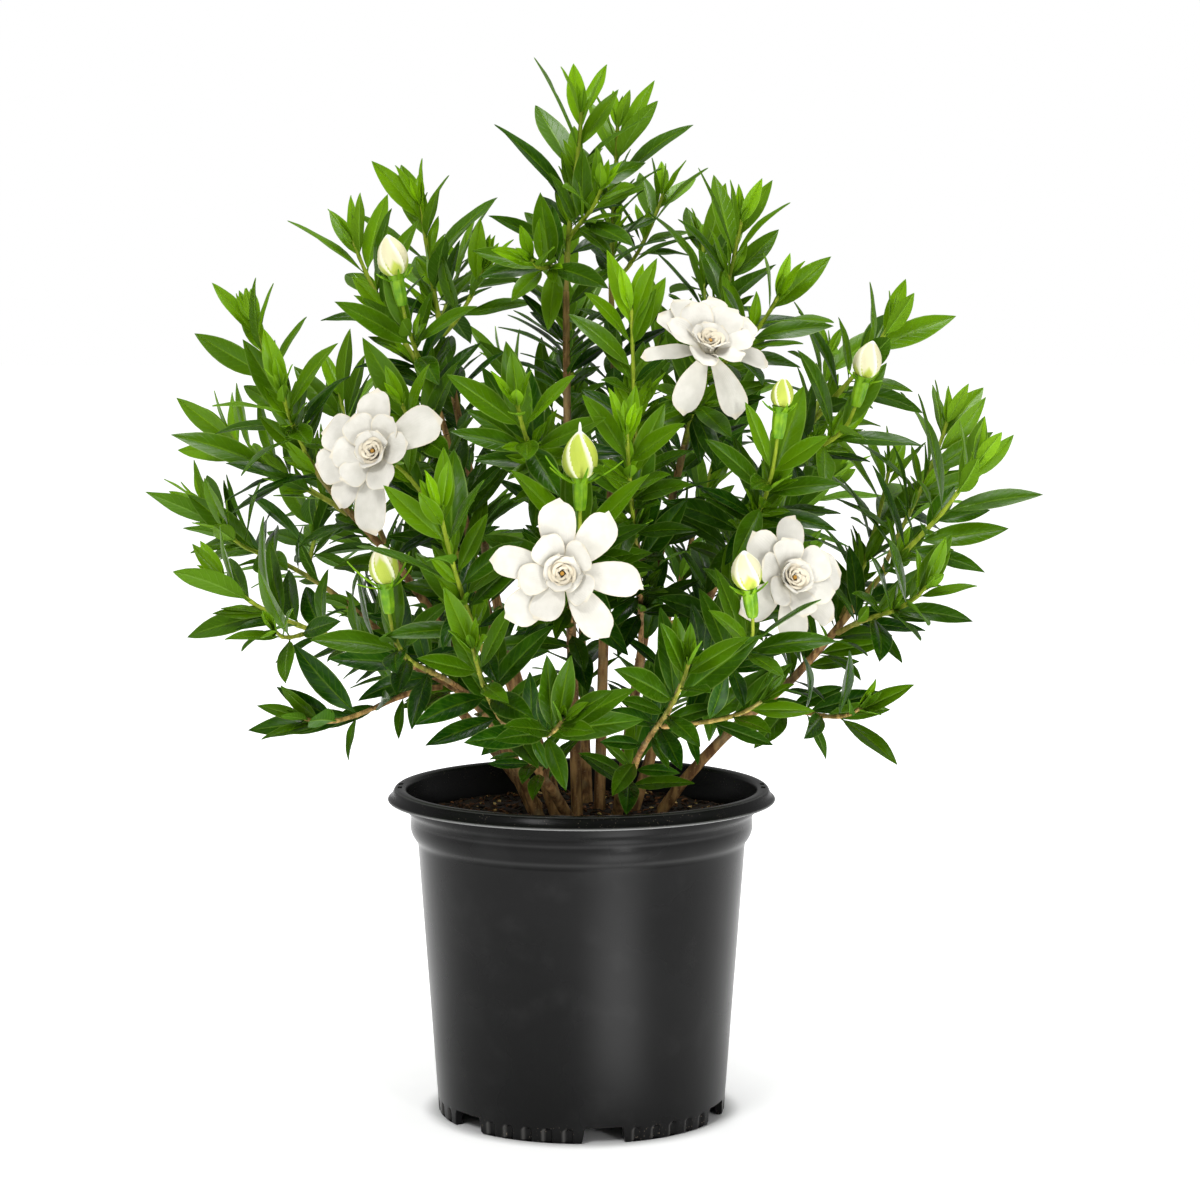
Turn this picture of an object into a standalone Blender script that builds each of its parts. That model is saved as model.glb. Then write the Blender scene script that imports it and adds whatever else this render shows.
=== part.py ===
"""Potted gardenia: a nursery pot of soil with a flowering shrub. Metres, +Z up.

The origin is the centre of the pot's foot, on the surface that it stands on.
The shrub is grown by rule: canes rise from the soil, leafy shoots leave the canes,
and leaves sit in crossed pairs along each shoot, each kept clear of what grew before.
"""
import math
import random
from dataclasses import dataclass, field

import bmesh
import bpy
from mathutils import Matrix, Vector
from mathutils.bvhtree import BVHTree
from mathutils.geometry import interpolate_bezier

# ---------------------------------------------------------------- driving dimensions
POT_HEIGHT = 0.236
RIM_RADIUS = 0.139
RIM_SKIRT = 0.0082          # how far the rim's skirt hangs below its crest
NECK_RADIUS = 0.122
WALL_TOP_RADIUS = 0.1176
WALL_TOP_HEIGHT = 0.1953
FOOT_RADIUS = 0.1034
POT_WALL = 0.0018
FLOOR_UNDERSIDE = 0.0125
FLOOR_THICKNESS = 0.0025
POT_SIDES = 40
NOTCH_COUNT = 6
NOTCH_WIDTH = 0.028
NOTCH_HEIGHT = 0.0115
NOTCH_TURN = math.radians(8.7)
DRAIN_RADIUS = 0.005
DRAIN_CIRCLE = 0.080

SOIL_TOP = 0.2130
SOIL_FLAT_RADIUS = 0.080
SOIL_SINK = 0.003           # how much lower the soil lies at the pot's wall
SOIL_GAP = 0.0008           # between the soil and the faceted wall
CONTACT_GAP = 0.0004        # left between pieces that touch
SOIL_SIDES = 20

CANE_BASE_RADIUS = 0.0042
CANE_TIP_RADIUS = 0.0023
CANE_STEPS = 3              # route points between two guide points
TWIG_BASE_RADIUS = 0.0021
TWIG_TIP_RADIUS = 0.0012
KID_BASE_RADIUS = 0.0017   # of a side sprig
CANE_CLEARANCE = 0.0006     # kept free round a cane, beside the leaves
TWIG_CLEARANCE = 0.0005
NODE_HALF = 0.0013          # half the length of the band that a leaf pair leaves from
LEAF_THICKNESS = 0.0010
LEAF_CLEARANCE = 0.0008
LEAF_RISE = 0.12            # how much leaves turn up towards the light
FIRST_INTERNODE = 0.0095
LAST_INTERNODE = 0.0195
INTERNODE_GROWTH = 1.35
THIRD_LEAF_CHANCE = 0.18
LEAF_TRIES = 7
TIP_CLEAR = 0.003           # bare end of a shoot
BLOOM_CLEAR = 0.024         # bare end of a shoot that carries a flower or bud
BARE_SHARE = 0.12           # leafless foot of a shoot: a share of its length and a length
BARE_LENGTH = 0.006
BASE_CLEAR = 0.0045         # how far off its twig a leaf is first tested for room

TUBE_LENGTH = 0.026         # the corolla tube behind an open flower
TUBE_RADIUS = 0.0025
CALYX_LENGTH = 0.021        # the green tube behind a bud's petals
BUD_FATNESS = 0.39          # a bud's radius over the length of its petals
CALYX_RADIUS = 0.0046
BUD_SIDES = 8
# Half section of a bud's petals: share of its greatest radius, share of its length.
BUD_SECTION = [(0.0, 1.0), (0.42, 0.88), (0.88, 0.62), (1.0, 0.36), (0.80, 0.14)]
# Rings of a flower's tube and hub: share of the tube's length, radius.
HUB_RINGS = [(0.70, 0.0035), (0.86, 0.0065), (1.00, 0.0075), (1.14, 0.0072), (1.40, 0.0085), (1.70, 0.0045)]
HUB_END = 1.75
OUTER_BAND = 2              # which band of the hub each whorl of petals is drawn from
INNER_BAND = 3
INNER_LIFT = 38             # degrees
PETALS_PER_WHORL = 6
SEED = 97

# Each cane: the guide points of its bare wood, then the tip of the shoot that ends it.
CANES = [
    [(0.058, 0.010), (0.102, 0.000, 0.271), (0.151, -0.020, 0.317), (0.198, -0.045, 0.378)],
    [(-0.003, 0.000), (-0.008, 0.000, 0.370), (-0.010, 0.000, 0.485), (-0.011, 0.000, 0.590)],
    [(0.013, 0.018), (0.017, 0.030, 0.367), (0.024, 0.050, 0.496), (0.022, 0.060, 0.575)],
    [(-0.016, 0.020), (-0.055, 0.030, 0.338), (-0.084, 0.040, 0.475), (-0.098, 0.040, 0.545)],
    [(-0.018, -0.010), (-0.065, -0.020, 0.358), (-0.095, -0.030, 0.490)],
    [(-0.034, 0.004), (-0.108, 0.000, 0.363), (-0.170, -0.010, 0.440)],
    [(-0.032, 0.026), (-0.103, 0.045, 0.300), (-0.174, 0.065, 0.362)],
    [(-0.030, -0.018), (-0.065, -0.035, 0.290), (-0.110, -0.050, 0.326), (-0.160, -0.060, 0.346)],
    [(-0.008, -0.034), (-0.040, -0.090, 0.275)],
    [(0.024, -0.030), (0.038, -0.100, 0.270)],
    [(0.026, 0.002), (0.049, -0.005, 0.370), (0.077, -0.010, 0.499)],
    [(0.038, 0.022), (0.085, 0.015, 0.355), (0.127, 0.005, 0.442), (0.150, -0.005, 0.480)],
    [(0.030, 0.042), (0.055, 0.090, 0.310)],
    [(-0.022, 0.044), (-0.055, 0.095, 0.300)],
    [(0.004, 0.050), (0.000, 0.105, 0.350)],
]

# Open flowers: centre, facing, radius, lift of the outer petals in degrees.
FLOWERS = {
    "flower_front": ((-0.012, -0.235, 0.412), (-0.05, -1.0, 0.12), 0.051, 12),
    "flower_left": ((-0.137, -0.135, 0.483), (-0.35, -0.85, 0.30), 0.046, 2),
    "flower_upper_right": ((0.085, -0.130, 0.553), (0.15, -0.65, 0.75), 0.042, -18),
    "flower_lower_right": ((0.138, -0.160, 0.400), (0.45, -0.80, 0.35), 0.040, 8),
}
# Closed buds: middle of the petals, the way they point, length of the petals.
BUDS = {
    "bud_front": ((-0.001, -0.200, 0.488), (0.0, -0.05, 1.0), 0.034),
    "bud_left": ((-0.132, -0.165, 0.413), (-0.10, -0.20, 1.0), 0.029),
    "bud_upper_left": ((-0.130, -0.080, 0.617), (-0.20, -0.10, 1.0), 0.031),
    "bud_right": ((0.197, -0.080, 0.546), (0.25, -0.15, 1.0), 0.028),
    "bud_lower_right": ((0.107, -0.215, 0.414), (-0.15, -0.35, 1.0), 0.029),
    "bud_small": ((0.134, -0.150, 0.526), (0.10, -0.10, 1.0), 0.022),
}

# Each shoot: the cane it leaves, how far along that cane, where it ends (a point, or the
# flower or bud that it carries), and its side sprigs as (how far along the shoot, end).
SHOOTS = [
    (0, 1.0, (0.270, -0.090, 0.474), [(0.15, (0.262, 0.020, 0.497))]),
    (1, 1.0, (0.000, 0.000, 0.716), [(0.10, (-0.034, -0.075, 0.612)), (0.3, (0.014, -0.055, 0.662))]),
    (2, 1.0, (0.026, 0.055, 0.708), [(0.15, (0.060, 0.100, 0.660))]),
    (3, 1.0, (-0.115, 0.040, 0.652), [(0.12, (-0.070, 0.015, 0.607)), (0.2, (-0.090, 0.115, 0.610))]),
    (4, 1.0, (-0.160, -0.020, 0.626), [(0.30, "bud_upper_left")]),
    (5, 1.0, (-0.232, -0.015, 0.570), [(0.30, (-0.205, -0.090, 0.525))]),
    (6, 1.0, (-0.282, 0.100, 0.433), [(0.40, (-0.255, 0.020, 0.418)), (0.25, (-0.200, 0.160, 0.425))]),
    (7, 1.0, (-0.250, -0.060, 0.392), [(0.25, (-0.208, -0.125, 0.362))]),
    (8, 1.0, (-0.071, -0.215, 0.362), [(0.30, (-0.012, -0.240, 0.318))]),
    (9, 1.0, (0.070, -0.215, 0.352), [(0.40, (0.120, -0.180, 0.322))]),
    (10, 1.0, (0.112, -0.020, 0.640), [(0.22, (0.135, -0.075, 0.588)), (0.35, (0.088, 0.060, 0.625))]),
    (11, 1.0, (0.218, -0.020, 0.570), [(0.20, (0.180, 0.060, 0.545))]),
    (12, 1.0, (0.115, 0.210, 0.520), [(0.15, (0.160, 0.120, 0.385)), (0.35, (0.190, 0.180, 0.445)),
                                      (0.50, (0.055, 0.235, 0.462))]),
    (13, 1.0, (-0.135, 0.215, 0.490), [(0.15, (-0.165, 0.130, 0.345)), (0.35, (-0.200, 0.175, 0.440)),
                                       (0.50, (-0.075, 0.240, 0.410))]),
    (14, 1.0, (-0.010, 0.185, 0.605), [(0.15, (0.020, 0.215, 0.420)), (0.35, (0.060, 0.180, 0.555)),
                                       (0.55, (-0.062, 0.220, 0.530))]),
    (4, 0.86, (-0.122, -0.105, 0.515), []),
    (5, 0.80, (-0.178, 0.085, 0.515), []),
    (5, 0.92, (-0.255, 0.035, 0.488), []),
    (4, 0.55, "flower_left", []),
    (7, 0.50, "bud_left", []),
    (8, 0.90, (-0.092, -0.215, 0.452), []),
    (1, 0.56, (-0.042, -0.195, 0.520), []),
    (1, 0.43, "bud_front", []),
    (1, 0.25, "flower_front", []),
    (10, 0.40, (0.030, -0.175, 0.500), [(0.40, (0.034, -0.110, 0.580))]),
    (10, 0.93, "flower_upper_right", []),
    (11, 0.60, "bud_small", []),
    (10, 0.25, "flower_lower_right", [(0.45, "bud_lower_right")]),
    (11, 0.90, "bud_right", []),
    (0, 0.80, (0.235, -0.115, 0.392), []),
    (0, 0.45, (0.192, -0.100, 0.306), []),
    (7, 0.60, (-0.190, -0.110, 0.300), []),
    (0, 0.86, (0.222, 0.036, 0.460), []),
]

# How a leaf changes with its place, counted in pairs down from the tip of its shoot.
LEAF_LENGTHS = [0.032, 0.048, 0.060, 0.063, 0.058, 0.052]
LEAF_ANGLES = [20, 28, 38, 47, 54, 60]        # degrees away from the shoot
LEAF_BENDS = [0.10, 0.20, 0.30, 0.38, 0.44, 0.50]   # radians that the blade curls over
LEAF_SLIMNESS = 0.25        # width over length
LEAF_WIDEST = 0.45          # fraction of its length at which a leaf is widest
LEAF_FOLD = 0.25            # rise of a leaf's edges over its midrib, over its half-width
PETAL_STATIONS = [(0.30, 0.55), (0.75, 1.0)]   # fraction of the length, share of the width
PETAL_FOLD = 0.1

UP = Vector((0, 0, 1))


# ---------------------------------------------------------------- growth plan
class Route:
    """A smooth line with a direction and an untwisted side vector at each point."""

    def __init__(self, points):
        self.points = points
        self.places = [0.0]
        for a, b in zip(points, points[1:]):
            self.places.append(self.places[-1] + (b - a).length)
        self.length = self.places[-1]
        last = len(points) - 1
        self.ways = [(points[min(i + 1, last)] - points[max(i - 1, 0)]).normalized()
                     for i in range(last + 1)]
        self.sides = [self.ways[0].orthogonal().normalized()]
        for way in self.ways[1:]:
            side = self.sides[-1]
            self.sides.append((side - way * side.dot(way)).normalized())

    def at(self, place):
        """Point, direction and side vector at a distance along the line."""
        place = min(max(place, 0.0), self.length)
        i = 0
        while i < len(self.places) - 2 and self.places[i + 1] < place:
            i += 1
        part = (place - self.places[i]) / (self.places[i + 1] - self.places[i])
        way = self.ways[i].lerp(self.ways[i + 1], part).normalized()
        side = self.sides[i].lerp(self.sides[i + 1], part)
        side = (side - way * side.dot(way)).normalized()
        return self.points[i].lerp(self.points[i + 1], part), way, side


@dataclass
class Blade:
    """A leaf or petal: an arc from its base, with a half-width at each station."""
    base: Vector
    along: Vector
    up: Vector
    length: float
    width: float
    bend: float
    place: float = 0.0      # distance along the twig that it leaves
    order: int = 0          # pairs down from the shoot's tip

    def frame(self, u):
        """Centre, direction, side and upper normal at fraction u of the blade."""
        turn = self.bend * u
        run = math.sin(turn) / self.bend * self.length
        drop = (1 - math.cos(turn)) / self.bend * self.length
        centre = self.base + self.along * run - self.up * drop
        along = self.along * math.cos(turn) - self.up * math.sin(turn)
        up = self.up * math.cos(turn) + self.along * math.sin(turn)
        return centre, along, up.cross(along), up

    def ring(self, u, share, fold=0.25, grow=0.0):
        """Right edge, top, left edge and keel of the blade at fraction u."""
        centre, _, side, up = self.frame(u)
        half = self.width / 2 * share
        lift = up * (half * fold)
        thick = up * (LEAF_THICKNESS / 2 + grow)
        side = side * (half + grow)
        return [centre + side + lift, centre + thick, centre - side + lift, centre - thick]

    def tip(self, grow=0.0):
        return self.frame(1.0 + grow / self.length)[0]


@dataclass
class Sprig:
    """A leafy twig with its leaves and side sprigs."""
    route: Route
    start_radius: float
    end_radius: float
    leaves: list = field(default_factory=list)
    kids: list = field(default_factory=list)
    place: float = 0.0      # distance along the twig that it leaves
    blooming: bool = False  # whether it carries a flower or bud

    def radius(self, place):
        part = place / self.route.length
        return self.start_radius + (self.end_radius - self.start_radius) * part


class Room:
    """What has grown so far, for keeping new growth clear of it."""

    def __init__(self):
        self.taken = []

    def is_free(self, verts, faces):
        low, high = box_of(verts)
        tree = None
        for other, other_low, other_high in self.taken:
            if any(low[k] > other_high[k] or high[k] < other_low[k] for k in range(3)):
                continue
            if tree is None:
                tree = BVHTree.FromPolygons(verts, faces)
            if tree.overlap(other):
                return False
        return True

    def take(self, verts, faces):
        low, high = box_of(verts)
        self.taken.append((BVHTree.FromPolygons(verts, faces), low, high))


def box_of(verts):
    return ([min(v[k] for v in verts) for k in range(3)],
            [max(v[k] for v in verts) for k in range(3)])


def tube_shape(route, radius_at, sides=5):
    """Corners and faces of a plain tube along a route."""
    steps = max(2, int(route.length / 0.012))
    verts, faces = [], []
    for i in range(steps + 1):
        place = route.length * i / steps
        centre, way, side = route.at(place)
        across = way.cross(side)
        for k in range(sides):
            angle = 2 * math.pi * k / sides
            verts.append(centre + (side * math.cos(angle) + across * math.sin(angle)) * radius_at(place))
    for i in range(steps):
        for k in range(sides):
            n = (k + 1) % sides
            faces.append((i * sides + k, i * sides + n, (i + 1) * sides + n, (i + 1) * sides + k))
    return verts, faces


def blade_shape(blade, grow, start):
    """Corners and faces of a leaf as it is tested for room, from a fraction of its length on."""
    rings = [blade.ring(u, share, grow=grow) for u, share in ((start, 0.35), (0.45, 1.0), (0.70, 0.8))]
    verts = [corner for ring in rings for corner in ring] + [blade.tip(grow)]
    faces = []
    for i in (0, 4):
        for k in range(4):
            n = (k + 1) % 4
            faces.append((i + k, i + n, i + 4 + n, i + 4 + k))
    faces += [(8 + k, 8 + (k + 1) % 4, 12) for k in range(4)]
    faces.append((3, 2, 1, 0))
    return verts, faces


def cane_route(guides):
    """A smooth cane through its guide points, rooted just above the soil."""
    points = [Vector((*guides[0], SOIL_TOP))] + [Vector(p) for p in guides[1:]]
    last = len(points) - 1
    pulls = [(points[min(i + 1, last)] - points[max(i - 1, 0)]) / 6 for i in range(last + 1)]
    pulls[0] = (points[1] - points[0] + UP * 0.02) / 4
    lean = pulls[0].angle(UP)
    points[0].z += CANE_BASE_RADIUS * math.sin(lean) + 2 * CONTACT_GAP
    line = []
    for i in range(last):
        piece = interpolate_bezier(points[i], points[i] + pulls[i], points[i + 1] - pulls[i + 1],
                                   points[i + 1], CANE_STEPS + 1)
        line += piece[1:] if line else piece
    return Route(line)


def cane_radius(route, place):
    return CANE_BASE_RADIUS + (CANE_TIP_RADIUS - CANE_BASE_RADIUS) * place / route.length


def bloom_base(name):
    """Where a flower or bud joins its stalk, and the way it points."""
    if name in FLOWERS:
        centre, facing = FLOWERS[name][:2]
        reach = TUBE_LENGTH
    else:
        centre, facing, length = BUDS[name]
        reach = length / 2 + CALYX_LENGTH
    facing = Vector(facing).normalized()
    return Vector(centre) - facing * reach, facing


def sprig_route(start, leaving, end):
    """A twig's line from a start, first along one direction, up to its end."""
    if isinstance(end, str):
        goal, end_way = bloom_base(end)
        goal = goal - end_way * CONTACT_GAP
    else:
        goal = Vector(end)
        end_way = ((goal - start).normalized() + UP * 0.55).normalized()
    reach = (goal - start).length / 3
    count = max(6, int(reach * 3 / 0.012))
    return Route(interpolate_bezier(start, start + leaving * reach, goal - end_way * reach, goal, count))


def plan_leaf(rng, room, route, radius, place, azimuth, order, youth):
    """A leaf at a place on a twig, turned a little until it fits; None if it never does."""
    point, way, side = route.at(place)
    across = way.cross(side)
    step = min(order, len(LEAF_LENGTHS) - 1)
    for attempt in range(LEAF_TRIES):
        spread = 0.10 + 0.09 * attempt
        angle = azimuth + rng.uniform(-spread, spread)
        out = side * math.cos(angle) + across * math.sin(angle)
        open_angle = math.radians(LEAF_ANGLES[step] + rng.uniform(-8, 8) * (1 + attempt * 0.3))
        along = (way * math.cos(open_angle) + out * math.sin(open_angle) + UP * LEAF_RISE).normalized()
        facing = way * 0.6 + UP * 0.5 - out * 0.2
        up = (facing - along * facing.dot(along)).normalized()
        length = LEAF_LENGTHS[step] * youth * rng.uniform(0.78, 1.25)
        bend = LEAF_BENDS[step] * rng.uniform(0.3, 1.4)
        leaf = Blade(point + out * radius * 0.5, along, up, length, length * LEAF_SLIMNESS,
                     bend, place, order)
        start = min(0.35, BASE_CLEAR / (length * math.sin(open_angle)))
        if room.is_free(*blade_shape(leaf, LEAF_CLEARANCE, start)):
            room.take(*blade_shape(leaf, 0.0, 0.05))
            return leaf
    return None


def add_leaves(rng, room, sprig):
    """Crossed pairs of leaves from the tip of a twig down, with longer gaps as they go."""
    route = sprig.route
    place = route.length - (BLOOM_CLEAR if sprig.blooming else TIP_CLEAR)
    gap = FIRST_INTERNODE
    azimuth = rng.uniform(0, 2 * math.pi)
    youth = rng.uniform(0.92, 1.08) * min(1.0, 0.72 + route.length * 2.5)
    order = 2 if sprig.blooming else 0
    used = [kid.place for kid in sprig.kids]
    while place > BARE_SHARE * route.length + BARE_LENGTH:
        turns = [0.0, math.pi]
        if rng.random() < THIRD_LEAF_CHANCE:
            turns.append(math.pi / 2)
        if all(abs(place - kid_place) > 3 * NODE_HALF for kid_place in used):
            for turn in turns:
                leaf = plan_leaf(rng, room, route, sprig.radius(place), place, azimuth + turn, order, youth)
                if leaf:
                    sprig.leaves.append(leaf)
        azimuth += math.pi / 2 + rng.uniform(-0.25, 0.25)
        place -= gap
        gap = min(gap * INTERNODE_GROWTH, LAST_INTERNODE)
        order += 1


def grow_shrub():
    """The routes of the canes and the planned shoots, in order."""
    rng = random.Random(SEED)
    room = Room()
    canes = [cane_route(guides) for guides in CANES]
    for cane in canes:
        room.take(*tube_shape(cane, lambda place, cane=cane: cane_radius(cane, place) + CANE_CLEARANCE, 6))
    for name in list(FLOWERS) + list(BUDS):
        room.take(*bloom_shape(name))
    shoots = []
    for number, share, end, kids in SHOOTS:
        cane = canes[number]
        point, way, _ = cane.at(cane.length * share)
        goal = bloom_base(end)[0] if isinstance(end, str) else Vector(end)
        if share == 1.0:
            leaving = way
            start = point + way * CONTACT_GAP
        else:
            leaving = ((goal - point).normalized() + way * 0.35).normalized()
            slant = leaving.dot(way)
            reach = cane_radius(cane, cane.length * share) * 1.06 + CONTACT_GAP + TWIG_BASE_RADIUS * slant
            start = point + leaving * (reach / math.sqrt(1 - slant * slant))
        sprig = Sprig(sprig_route(start, leaving, end), TWIG_BASE_RADIUS, TWIG_TIP_RADIUS,
                      blooming=isinstance(end, str))
        for kid_share, kid_end in kids:
            place = sprig.route.length * kid_share
            point, way, _ = sprig.route.at(place)
            kid_goal = bloom_base(kid_end)[0] if isinstance(kid_end, str) else Vector(kid_end)
            away = (kid_goal - point).normalized()
            out = (away - way * away.dot(way)).normalized()
            leaving = (out + way * 0.6).normalized()
            kid = Sprig(sprig_route(point + out * sprig.radius(place), leaving, kid_end),
                        KID_BASE_RADIUS, TWIG_TIP_RADIUS, place=place, blooming=isinstance(kid_end, str))
            sprig.kids.append(kid)
        shoots.append(sprig)
        for twig in [sprig] + sprig.kids:
            room.take(*tube_shape(twig.route, lambda place, twig=twig: twig.radius(place) + TWIG_CLEARANCE))
    for sprig in shoots:
        for twig in [sprig] + sprig.kids:
            add_leaves(rng, room, twig)
    return canes, shoots


def bloom_shape(name):
    """A plain spindle around a flower or bud, for keeping leaves out of it."""
    base, facing = bloom_base(name)
    if name in FLOWERS:
        radius = FLOWERS[name][2]
        rings = [(0.2, 0.006), (0.4, radius), (1.3, radius), (1.9, 0.016)]
        reach = TUBE_LENGTH
    else:
        length = BUDS[name][2]
        reach = CALYX_LENGTH + length
        fat = BUD_FATNESS * length
        rings = [(0.02, 0.0048), (0.38, 0.0058), (0.55, fat + 0.001), (0.75, fat), (1.04, 0.002)]
    sides = 10
    side = facing.orthogonal().normalized()
    across = facing.cross(side)
    verts, faces = [], []
    for share, radius in rings:
        for k in range(sides):
            angle = 2 * math.pi * k / sides
            verts.append(base + facing * (reach * share)
                         + (side * math.cos(angle) + across * math.sin(angle)) * radius)
    for i in range(len(rings) - 1):
        for k in range(sides):
            n = (k + 1) % sides
            faces.append((i * sides + k, i * sides + n, (i + 1) * sides + n, (i + 1) * sides + k))
    faces.append(tuple(range(sides))[::-1])
    faces.append(tuple(range((len(rings) - 1) * sides, len(rings) * sides)))
    return verts, faces


# ---------------------------------------------------------------- mesh helpers
def make_material(name, colour, roughness):
    material = bpy.data.materials.new(name)
    material.use_nodes = True
    shader = material.node_tree.nodes["Principled BSDF"]
    shader.inputs["Base Color"].default_value = (*colour, 1.0)
    shader.inputs["Roughness"].default_value = roughness
    shader.inputs["Metallic"].default_value = 0.0
    return material


def add_object(name, data, material, collection):
    thing = bpy.data.objects.new(name, data)
    thing.data.materials.append(material)
    collection.objects.link(thing)
    return thing


def bridge(bm, ring, corners):
    """Join a ring of vertices to new corners round the same way; new ring and side faces."""
    count = len(ring)
    turns = range(count)
    best = min(turns, key=lambda t: sum((corners[(i + t) % count] - ring[i].co).length_squared for i in turns))
    fresh = [bm.verts.new(corners[(i + best) % count]) for i in turns]
    sides = [bm.faces.new((ring[i], ring[(i + 1) % count], fresh[(i + 1) % count], fresh[i])) for i in turns]
    return fresh, sides


def close_to_point(bm, ring, point):
    tip = bm.verts.new(point)
    for i in range(len(ring)):
        bm.faces.new((ring[i], ring[(i + 1) % len(ring)], tip))


def pull_blade(bm, face, blade, stations, fold):
    """Draw a leaf or petal out of a face of its stem."""
    ring = list(face.verts)
    bm.faces.remove(face)
    for u, share in stations:
        ring, _ = bridge(bm, ring, blade.ring(u, share, fold))
    close_to_point(bm, ring, blade.tip())


def circle(centre, way, start, radius, count):
    """Corners round a centre, anticlockwise about a direction, the first half a step off start."""
    across = way.cross(start)
    corners = []
    for k in range(count):
        angle = 2 * math.pi * (k + 0.5) / count
        corners.append(centre + (start * math.cos(angle) + across * math.sin(angle)) * radius)
    return corners


def finish_mesh(bm, name):
    bmesh.ops.triangulate(bm, faces=bm.faces[:])
    mesh = bpy.data.meshes.new(name)
    bm.to_mesh(mesh)
    bm.free()
    mesh.shade_smooth()
    mesh.set_sharp_from_angle(angle=math.radians(50))
    return mesh


def turned_mesh(name, profile, steps):
    """A turned solid: a profile in X and Z, spun about Z by a Screw modifier."""
    mesh = bpy.data.meshes.new(name)
    verts = [(r, 0.0, z) for r, z in profile]
    mesh.from_pydata(verts, [(i, i + 1) for i in range(len(verts) - 1)], [])
    thing = bpy.data.objects.new(name, mesh)
    screw = thing.modifiers.new("turn", "SCREW")
    screw.axis = "Z"
    screw.steps = steps
    screw.render_steps = steps
    screw.use_merge_vertices = True
    screw.merge_threshold = 0.00005
    screw.use_smooth_shade = True
    return thing


# ---------------------------------------------------------------- pot and soil
def inner_wall(height):
    """Radius of the pot's inner wall at a height below its neck."""
    share = height / WALL_TOP_HEIGHT
    return FOOT_RADIUS + (WALL_TOP_RADIUS - FOOT_RADIUS) * share - POT_WALL


def pot_profile():
    """Half section of the pot, from the middle of its floor up the inside and down the outside."""
    floor_top = FLOOR_UNDERSIDE + FLOOR_THICKNESS
    neck_top = POT_HEIGHT - 0.025
    inner_neck = NECK_RADIUS - POT_WALL
    crest_in = NECK_RADIUS + 0.0045
    crest_out = RIM_RADIUS - 0.005
    skirt = POT_HEIGHT - RIM_SKIRT
    return [
        (0.0, floor_top), (inner_wall(floor_top), floor_top),
        (inner_wall(WALL_TOP_HEIGHT), WALL_TOP_HEIGHT + 0.001),
        (inner_neck - 0.0004, WALL_TOP_HEIGHT + 0.008), (inner_neck, neck_top),
        (crest_in - 0.001, POT_HEIGHT - 0.003), (crest_in + 0.001, POT_HEIGHT - 0.0006),
        (crest_in + 0.004, POT_HEIGHT), (crest_out, POT_HEIGHT - 0.0006),
        (crest_out + 0.0016, POT_HEIGHT - 0.002), (RIM_RADIUS, skirt),
        (RIM_RADIUS - 0.001, skirt - 0.0008), (crest_out, POT_HEIGHT - 0.0035),
        (crest_out - 0.002, POT_HEIGHT - 0.0024), (crest_in + 0.002, POT_HEIGHT - 0.0026),
        (NECK_RADIUS, neck_top), (NECK_RADIUS - 0.0005, WALL_TOP_HEIGHT + 0.007),
        (WALL_TOP_RADIUS + 0.0026, WALL_TOP_HEIGHT + 0.003), (WALL_TOP_RADIUS, WALL_TOP_HEIGHT),
        (FOOT_RADIUS + 0.0008, 0.012), (FOOT_RADIUS, 0.002), (FOOT_RADIUS - 0.001, 0.0),
        (FOOT_RADIUS - 0.005, 0.0), (FOOT_RADIUS - 0.005, FLOOR_UNDERSIDE), (0.0, FLOOR_UNDERSIDE),
    ]


def make_pot(material, parts, cutters):
    """The pot, with notches through its foot ring and a drain hole behind each."""
    pot = turned_mesh("nursery_pot", pot_profile(), POT_SIDES)
    pot.data.materials.append(material)
    parts.objects.link(pot)
    for index in range(NOTCH_COUNT):
        turn = Matrix.Rotation(-math.pi / 2 + NOTCH_TURN + index * 2 * math.pi / NOTCH_COUNT, 4, "Z")
        bm = bmesh.new()
        size = Matrix.Diagonal((0.016, NOTCH_WIDTH, NOTCH_HEIGHT * 2, 1.0))
        bmesh.ops.create_cube(bm, size=1.0, matrix=turn @ Matrix.Translation((FOOT_RADIUS, 0, 0)) @ size)
        add_cutter(f"notch_{index + 1}", bm, cutters)
        bm = bmesh.new()
        place = Matrix.Translation((DRAIN_CIRCLE, 0, FLOOR_UNDERSIDE))
        bmesh.ops.create_cone(bm, cap_ends=True, segments=10, radius1=DRAIN_RADIUS, radius2=DRAIN_RADIUS,
                              depth=0.012, matrix=turn @ place)
        add_cutter(f"drain_{index + 1}", bm, cutters)
    cut = pot.modifiers.new("openings", "BOOLEAN")
    cut.operation = "DIFFERENCE"
    cut.operand_type = "COLLECTION"
    cut.collection = cutters
    return pot


def add_cutter(name, bm, cutters):
    mesh = bpy.data.meshes.new(name)
    bm.to_mesh(mesh)
    bm.free()
    cutter = bpy.data.objects.new(name, mesh)
    cutter.hide_render = True
    cutter.display_type = "WIRE"
    cutters.objects.link(cutter)


def make_soil(material, parts):
    """The potting mix, which fills the pot to a little under the neck's top."""
    floor = FLOOR_UNDERSIDE + FLOOR_THICKNESS + CONTACT_GAP
    rim = NECK_RADIUS - POT_WALL - 2 * SOIL_GAP
    profile = [
        (0.0, SOIL_TOP), (SOIL_FLAT_RADIUS, SOIL_TOP), (rim, SOIL_TOP - SOIL_SINK),
        (rim, WALL_TOP_HEIGHT + 0.009), (inner_wall(WALL_TOP_HEIGHT) - SOIL_GAP, WALL_TOP_HEIGHT),
        (inner_wall(floor) - SOIL_GAP, floor), (0.0, floor),
    ]
    soil = turned_mesh("potting_soil", profile, SOIL_SIDES)
    soil.data.materials.append(material)
    parts.objects.link(soil)


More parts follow.
